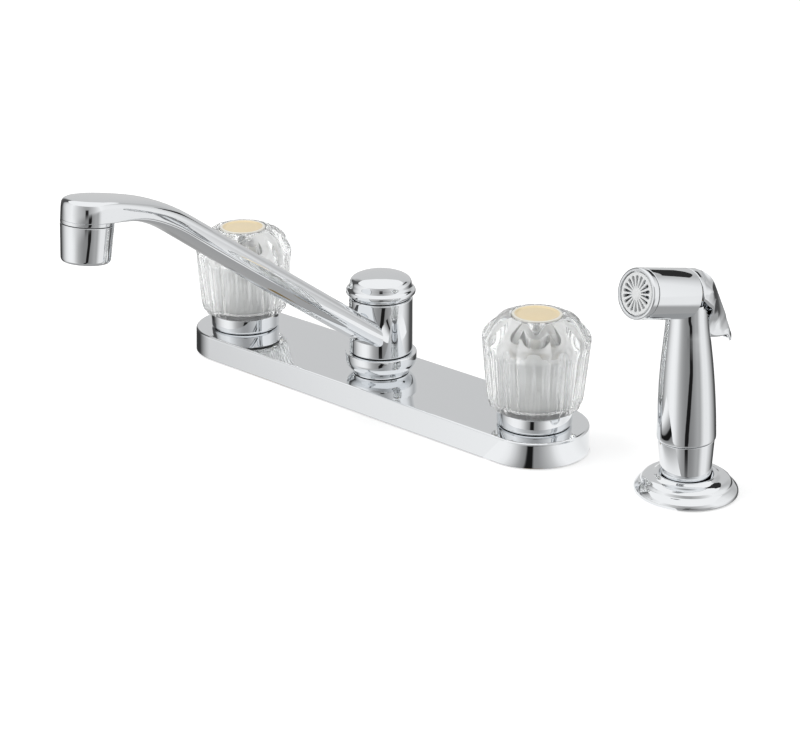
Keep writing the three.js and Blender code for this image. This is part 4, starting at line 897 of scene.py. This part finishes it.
button_profile = rounded([
    (0, BUTTON_BOTTOM), (BUTTON_RADIUS, BUTTON_BOTTOM), (BUTTON_RADIUS, BUTTON_TOP - 0.1, 0.4),
    (BUTTON_RADIUS - 0.8, BUTTON_TOP, 0.5), (BUTTON_RADIUS - 1.8, BUTTON_TOP - 0.2, 0.4),
    (BUTTON_RADIUS - 2.6, BUTTON_TOP - 0.7, 0.5), (4, BUTTON_TOP - 0.3, 4), (0, BUTTON_TOP - 0.25),
])
for name, x in INLETS:
    piece(
        f"{name}_index_disc", [turned(button_profile)], gold, f"{name}_handle",
        [f"{name}_index_button"], at=Matrix.Translation((x, 0, 0)),
    )

# ---- spray holder ----------------------------------------------------------------------
# A plated brass flange with two rounded steps, standing in its own hole in the sink. Its
# threaded shank goes through the deck and is drawn down by a nut.
SPRAY_AT = Vector((184.9, 9.1, 0))
HOLDER_RADIUS = 24.4

holder_profile = rounded([
    (11.4, -44), (14.4, -44, 0.5), (14.4, 2.3), (22.2, 2.3), (22.2, 0.4),
    (HOLDER_RADIUS - 0.2, 0.4, 0.2), (HOLDER_RADIUS, 2.2, 1.6),
    (HOLDER_RADIUS - 2.2, 4.5, 1.2), (HOLDER_RADIUS - 3.2, 5.1, 0.5),
    (HOLDER_RADIUS - 3.7, 6.6, 0.9), (HOLDER_RADIUS - 5.6, 7.9, 1.4),
    (HOLDER_RADIUS - 8.4, 8.3, 0.8), (13.9, 9.8, 0.8), (12.5, 9.0, 0.4), (11.4, -6),
])
piece(
    "spray_flange", [turned(holder_profile)], ring_chrome, "deck_unit", ["spray_holder"],
    at=Matrix.Translation(SPRAY_AT),
)

# ---- spray coupling --------------------------------------------------------------------
# The tapered, plated collar that sits in the holder. The hose screws into its foot, and
# the spray turns on the spigot at its top.
LEAN = radians(2.5)
LEAN_HEADING = radians(-137.6)
YAW = radians(10.8)
LEAN_FROM = 1.5  # it leans about a spot at this height
COLLAR_TOP = 26.6

leaning = Vector((cos(LEAN_HEADING) * tan(LEAN), sin(LEAN_HEADING) * tan(LEAN), 1)).normalized()
IN_WAND = (
    Matrix.Translation(SPRAY_AT + Vector((0, 0, LEAN_FROM)))
    @ Vector((0, 0, 1)).rotation_difference(leaning).to_matrix().to_4x4()
    @ Matrix.Translation((0, 0, -LEAN_FROM))
    @ Matrix.Rotation(-YAW, 4, "Z")
)
collar_profile = rounded([
    (4.3, -19), (9.3, -19, 0.4), (10.0, -7, 0.4), (10.5, -6, 0.3), (13.1, COLLAR_TOP, 0.4),
    (7.4, COLLAR_TOP), (7.4, COLLAR_TOP + 15, 0.4), (4.3, COLLAR_TOP + 15),
])
piece(
    "spray_collar", [turned(collar_profile)], ring_chrome, "spray_coupling",
    ["spray_coupling"], at=IN_WAND,
)

# ---- spray handle ----------------------------------------------------------------------
# Two mouldings of plated ABS welded into one: a waisted grip, and the barrel that carries
# the nozzle. The plating has a slightly softer ripple than the metal parts.
HEAD_HEIGHT = 96.9
HEAD_TILT = radians(13.8)
HEAD_RADIUS = 11.6
GRIP_BOTTOM = 27.0
GRIP_TOP = 93.0
GRIP_CORE = 3  # the radius of its closed inside
SEAM = 2.4
NOZZLE_SEAT = 29.1
# the neck has a slot behind, in which the lever's skirts swing in, and over it the whole back
# is cut away for the cap, on a slope
NECK_SLOT_LOW = 68.4
NECK_SLOT_HALF = 7.2
NECK_CUT = 4.6  # behind the axis
CAP_ROOM_LOW = 84.9
SLOPE_LOW, SLOPE = 88.0, 0.7
CUT_STEP = 0.05
CORE_CLEAR = 0.5

IN_HEAD = IN_WAND @ Matrix.Translation((0, 0, HEAD_HEIGHT)) @ (
    Matrix.Rotation(pi / 2 - HEAD_TILT, 4, "X")
)
spray_chrome = chrome_plate("polished chrome on moulded ABS", peel=0.015, haze=0.025)
grip_profile = rounded([
    (GRIP_CORE, GRIP_BOTTOM), (13.6, GRIP_BOTTOM, 0.5), (13.75, GRIP_BOTTOM + 1.2, 1.5),
    (13.5, 40, 6), (12.9, 52, 6), (11.98, 64, 6), (10.8, 74.5, 5), (9.75, 83.5, 5), (9.5, 90, 3),
    (9.4, GRIP_TOP), (GRIP_CORE, GRIP_TOP),
])
barrel_profile = rounded([
    (0, SEAM), (HEAD_RADIUS, SEAM, 0.25), (HEAD_RADIUS, NOZZLE_SEAT, 0.25), (9.2, NOZZLE_SEAT),
    (9.2, 20), (0, 20),
])


def cut_neck(profile):
    """The profile with more points on the neck, a close pair at each of the cut's steps."""
    levels = [
        NECK_SLOT_LOW, NECK_SLOT_LOW + CUT_STEP, CAP_ROOM_LOW, CAP_ROOM_LOW + CUT_STEP, SLOPE_LOW,
    ]
    line = []
    for (r, z), (next_r, next_z) in zip(profile, profile[1:] + profile[:1]):
        line.append((r, z))
        line += [
            (r + (next_r - r) * (level - z) / (next_z - z), level)
            for level in levels if z < level < next_z
        ]
    return line


def neck_reach(i, radius, height, angle):
    """The grip's radius at an angle, less where the neck is cut away; its core stays inside."""
    start = NECK_CUT - SLOPE * max(height - SLOPE_LOW, 0)
    beside = abs(radius * cos(angle)) > NECK_SLOT_HALF and height <= CAP_ROOM_LOW
    if height <= NECK_SLOT_LOW or beside or radius * sin(angle) <= start:
        return radius
    return start / sin(angle) - (CORE_CLEAR if radius == GRIP_CORE else 0)


piece(
    "spray_grip", [turned(cut_neck(grip_profile), 144, neck_reach)], spray_chrome, "spray_wand",
    ["spray_handle"], at=IN_WAND,
)
piece(
    "spray_barrel", [turned(barrel_profile)], spray_chrome, "spray_wand",
    at=IN_HEAD,
)

# ---- nozzle ----------------------------------------------------------------------------
# A plated ABS ring, screwed on the end of the barrel over a thin gap. Its rounded lip stands
# round the recess that the white face sits in.
HEAD_LENGTH = 32.5
RECESS_RADIUS = 9.9
RECESS_DEPTH = 1.9

bezel_profile = rounded([
    (7.7, NOZZLE_SEAT - 5.5), (8.7, NOZZLE_SEAT - 5.5), (8.7, NOZZLE_SEAT + 0.3),
    (HEAD_RADIUS, NOZZLE_SEAT + 0.3, 0.3), (HEAD_RADIUS, HEAD_LENGTH, 1.2),
    (RECESS_RADIUS, HEAD_LENGTH, 0.5), (RECESS_RADIUS, HEAD_LENGTH - RECESS_DEPTH),
    (7.7, HEAD_LENGTH - RECESS_DEPTH),
])
piece(
    "nozzle_bezel", [turned(bezel_profile)], spray_chrome, "spray_wand", ["nozzle_ring"],
    at=IN_HEAD,
)

# ---- nozzle face -----------------------------------------------------------------------
# A white acetal moulding, pressed into the ring's recess. Its ring of narrow slots round the
# hub breaks the water into a cone of fine jets.
FACE_RADIUS = 9.6
FACE_BACK = 30.9
FACE_FRONT = 32.1
FACE_EDGE = 0.3
FACE_SLOTS = 18
SLOT_NEAR, SLOT_NEAR_HALF = 2.9, 0.2
SLOT_FAR, SLOT_FAR_HALF = 7.4, 0.8
DOME_SIDES = 24
HUB_DOME = 0.35

# acetal is a dense, slightly waxy white; the mould leaves it fine grained and half glossy
acetal, tree, principled = new_material("white moulded acetal")
place = add(tree, "TexCoord").outputs["Object"]
grain = add(tree, "TexNoise", None, {"Vector": place, "Scale": 1 / (0.8 * MM), "Detail": 3})
tint = add(tree, "ValToRGB", None, {"Fac": grain.outputs["Fac"]})
tint.color_ramp.elements[0].color = linear("#DFE1E2")
tint.color_ramp.elements[1].color = linear("#F4F5F5")
gloss = add(tree, "MapRange", None, {
    "Value": grain.outputs["Fac"], "To Min": 0.22, "To Max": 0.4,
})
bump = add(tree, "Bump", None, {
    "Height": grain.outputs["Fac"], "Strength": 1, "Distance": 0.01 * MM,
})
fill(principled, {
    "Base Color": tint.outputs[0], "IOR": 1.48, "Roughness": gloss.outputs[0],
    "Normal": bump.outputs[0],
})


def slot_loop(turn, height, steps=6):
    """One slot's edge: it widens outwards and has round ends."""
    loop = []
    for centre, half, start in (
        (SLOT_FAR, SLOT_FAR_HALF, -pi / 2), (SLOT_NEAR, SLOT_NEAR_HALF, pi / 2),
    ):
        for k in range(steps + 1):
            angle = start + pi * k / steps
            x, y = centre + half * cos(angle), half * sin(angle)
            loop.append((x * cos(turn) - y * sin(turn), x * sin(turn) + y * cos(turn), height))
    return loop


slot_turns = [2 * pi * k / FACE_SLOTS for k in range(FACE_SLOTS)]
face_shapes = []
for height in (FACE_BACK, FACE_FRONT):
    rims = [slot_loop(turn, height) for turn in slot_turns]
    rim = FACE_RADIUS if height == FACE_BACK else FACE_RADIUS - FACE_EDGE
    face_shapes.append(flat_face([circle(0, rim, height)] + rims))
for turn in slot_turns:
    face_shapes.append(
        skin([slot_loop(turn, FACE_BACK), slot_loop(turn, FACE_FRONT)], closed=False)
    )
face_shapes.append(skin([
    circle(0, FACE_RADIUS, FACE_BACK), circle(0, FACE_RADIUS, FACE_FRONT - FACE_EDGE),
    circle(0, FACE_RADIUS - FACE_EDGE, FACE_FRONT),
], closed=False))
face_shapes.append(turned([
    (0, FACE_FRONT - 0.1), (2.3, FACE_FRONT - 0.1), (2.0, FACE_FRONT + 0.2),
    (0, FACE_FRONT + HUB_DOME),
], DOME_SIDES))
piece(
    "nozzle_face_disc", face_shapes, acetal, "spray_wand", ["nozzle_face"],
    at=IN_HEAD,
)

# ---- lever -----------------------------------------------------------------------------
# A plated ABS cap that carries on the barrel's round back and runs down into the thumb
# lever. It is a thin shell, hung on a steel pin, with skirts that hide the plunger.

# in side view, as (behind, over) the crossing of the barrel's axis and the grip's: the spine's
# curve, its tip, and the inner edge across from each place on them
SPINE = [Vector(p) for p in ((4, 10.97), (11, 9.5), (14.5, -1), (23.6, -19.9))]
SPINE_TOP = Vector((0.73, 11.77))
SPINE_TIP = [Vector(p) for p in ((24.7, -22.6), (25.8, -25.3), (25.7, -26.8), (24.7, -27.5))]
INNER_EDGE = [Vector(p) for p in (
    (-0.95, 3.2), (-0.9, 0), (0.8, -1.8), (2.6, -3.6), (4.6, -5.1), (6.6, -6.6), (7.6, -11.5),
    (8.6, -17), (9.6, -21.8), (16.8, -23.7), (21.4, -24.0), (23.0, -26.1), (23.6, -27.3),
    (24.3, -27.5),
)]
SPINE_STEPS = 8
# half of its width: behind the crossing it is drawn in to a narrow back, and down the tail it
# narrows from the barrel's width to the tip's
DRAWN_FROM, DRAWN_BY, DRAWN_POWER, BACK_HALF = 5, 5.5, 2.4, 5.3
TAIL_FROM, TAIL_TIP, TAIL_POWER, TIP_HALF = -2, -29.5, 2.6, 4.2
MELT = 3.5  # over which the two run into each other
BACK_FLAT = 0.62  # the share of the back's width that is flat
BAND_DEPTH = 7.0  # of the bevels beside it, with the flat skirts below them
BAND_SHARE = 0.7  # of the skirt, at most
BAND_ROUND = 0.1  # 0 for flat bevels and 1 for a full round
BAND_STEP = 0.45  # from the bevels in to the skirts
STRIP_STEPS, FLANK_STEPS = 3, 14
LEVER_WALL = 0.9


def lever_half(spot):
    """Half the lever's width at a spot of its side view: the barrel's round, drawn in."""
    behind, over_axis = spot
    off_axis = behind * sin(HEAD_TILT) + over_axis * cos(HEAD_TILT)
    barrel_half = sqrt(max(HEAD_RADIUS ** 2 - off_axis ** 2, 0))
    up_tail = (over_axis - TAIL_TIP) / (TAIL_FROM - TAIL_TIP)
    tail_half = 0
    if up_tail <= 1:
        tail_half = TIP_HALF + (HEAD_RADIUS - TIP_HALF) * max(up_tail, 0) ** TAIL_POWER
    off_start = max(behind - DRAWN_FROM, 0) / DRAWN_BY
    drawn = BACK_HALF + (HEAD_RADIUS - BACK_HALF) / (1 + off_start ** DRAWN_POWER)
    full = max(barrel_half, tail_half)
    melt = MELT * blended(2, 8, behind)
    if melt < 0.01:
        return min(drawn, full)
    share = min(max(0.5 + 0.5 * (full - drawn) / melt, 0), 1)
    return share * drawn + (1 - share) * full - melt * share * (1 - share)


spine_points = [SPINE_TOP]
for k in range(SPINE_STEPS + 1):
    t = k / SPINE_STEPS
    weights = ((1 - t) ** 3, 3 * (1 - t) ** 2 * t, 3 * (1 - t) * t * t, t ** 3)
    spine_points.append(sum((w * p for w, p in zip(weights, SPINE)), Vector((0, 0))))
spine_points += SPINE_TIP
stations = smooth_row([(*outer, *inner) for outer, inner in zip(spine_points, INNER_EDGE)], 5)
lever_rows = []
for ox, oy, ix, iy in stations:
    outer, inner = Vector((ox, oy)), Vector((ix, iy))
    length = (inner - outer).length
    on_tail = blended(3, 9, ox)  # from the round cap to the bevelled tail
    strip = BACK_FLAT * on_tail * lever_half(outer)
    step = BAND_STEP * blended(9, 13, length)  # only where the skirts are deep
    flank = [(strip * k / STRIP_STEPS, outer) for k in range(STRIP_STEPS)]
    for k in range(FLANK_STEPS + 1):
        share = (k / FLANK_STEPS) ** 2
        spot = outer.lerp(inner, share)
        turn = min(length * share / min(BAND_DEPTH, BAND_SHARE * length), 1)
        rounding = (1 - BAND_ROUND) * turn + BAND_ROUND * sqrt(1 - (1 - turn) ** 2)
        half = lever_half(spot)
        banded = strip + (half - strip) * rounding - (step if turn >= 1 else 0)
        flank.append(((1 - on_tail) * half + on_tail * banded, spot))
    row = [(-x, spot) for x, spot in reversed(flank[1:])] + flank
    lever_rows.append([(x, spot.x, HEAD_HEIGHT + spot.y) for x, spot in row])
lever_points = [p for row in lever_rows for p in row]
lever_faces = []
count = len(lever_rows[0])
for i in range(len(lever_rows) - 1):
    for a in range(i * count, (i + 1) * count - 1):
        lever_faces.append((a, a + 1, a + count + 1, a + count))
lever = piece(
    "thumb_lever", [(lever_points, lever_faces)], spray_chrome, "spray_lever", ["spray_lever"],
    crease=45, at=IN_WAND,
)
walls = lever.modifiers.new("shell", "SOLIDIFY")
walls.thickness = LEVER_WALL * MM
walls.offset = -1

# ---- parts inside ----------------------------------------------------------------------
# What the covers hide or let one glimpse keeps its CAD shape: turned brass bodies, copper
# tubes, steel springs and screws, black rubber seals and ivory nylon parts.
WAVE_PERIOD = 0.314  # of a wave texture, over its scale


def machined(name, dark_tone, pale_tone, metallic, roughness, pitch, depth):
    """A turned or drawn surface: fine rings left by the tool, and slow changes of tone."""
    made, tree, principled = new_material(name)
    place = add(tree, "TexCoord").outputs["Object"]
    tone = add(tree, "TexNoise", None, {"Vector": place, "Scale": 1 / (9 * MM), "Detail": 5})
    tint = add(tree, "ValToRGB", None, {"Fac": tone.outputs["Fac"]})
    tint.color_ramp.elements[0].position = 0.3
    tint.color_ramp.elements[0].color = linear(dark_tone)
    tint.color_ramp.elements[1].position = 0.7
    tint.color_ramp.elements[1].color = linear(pale_tone)
    rings = add(tree, "TexWave", {"bands_direction": "Z"}, {
        "Vector": place, "Scale": WAVE_PERIOD / (pitch * MM), "Distortion": 0.6, "Detail": 2,
    })
    gloss = add(tree, "MapRange", None, {
        "Value": tone.outputs["Fac"], "To Min": 0.8 * roughness, "To Max": 1.25 * roughness,
    })
    bump = add(tree, "Bump", None, {
        "Height": rings.outputs["Fac"], "Strength": 1, "Distance": depth * MM,
    })
    fill(principled, {
        "Base Color": tint.outputs[0], "Metallic": metallic, "Roughness": gloss.outputs[0],
        "Normal": bump.outputs[0],
    })
    return made


def dress(material, *nodes):
    """Gives CAD nodes a finer material in place of their plain one."""
    for node in nodes:
        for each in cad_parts[node].material_slots:
            each.material = material


# tool rings 0.5 mm apart are drawn coarser than they are, so that they show at all
turned_brass = machined("turned brass", "#A8843F", "#CDAE6B", 1, 0.30, 0.5, 0.006)
plated_brass = machined("satin nickel on brass", "#E2E2DF", "#F2F2F0", 0.5, 0.5, 0.5, 0.006)
drawn_copper = machined("drawn copper tube", "#9C5A3B", "#C98A66", 1, 0.32, 1.5, 0.003)
spring_steel = machined("stainless spring steel", "#9EA1A5", "#C3C6CA", 1, 0.28, 0.8, 0.003)
seal_rubber = machined("black nitrile rubber", "#1B1C1E", "#2C2D30", 0, 0.72, 0.9, 0.008)
ivory_nylon = machined("ivory moulded nylon", "#D8D4C6", "#ECE9DF", 0, 0.48, 1.2, 0.006)
dress(turned_brass, "centre_post", "hot_valve_body", "cold_valve_body", "spray_nipple",
      "spray_plunger")
dress(plated_brass, "hot_bonnet", "cold_bonnet", "hot_stem", "cold_stem")
dress(drawn_copper, "hot_mix_tube", "cold_mix_tube", "spray_riser")
dress(spring_steel, "hot_seat_spring", "cold_seat_spring", "diverter_spring", "plunger_spring",
      "hot_knob_screw", "cold_knob_screw", "lever_pin")
dress(seal_rubber, "base_gasket", "holder_gasket", "hot_seat", "cold_seat", "hot_stem_oring",
      "cold_stem_oring", "lower_post_oring", "upper_post_oring", "aerator_washer",
      "hose_washer", "coupling_oring")
dress(ivory_nylon, "hot_locknut", "cold_locknut", "holder_nut", "spout_glide_ring",
      "hot_knob_insert", "cold_knob_insert", "diverter_piston", "aerator_insert")
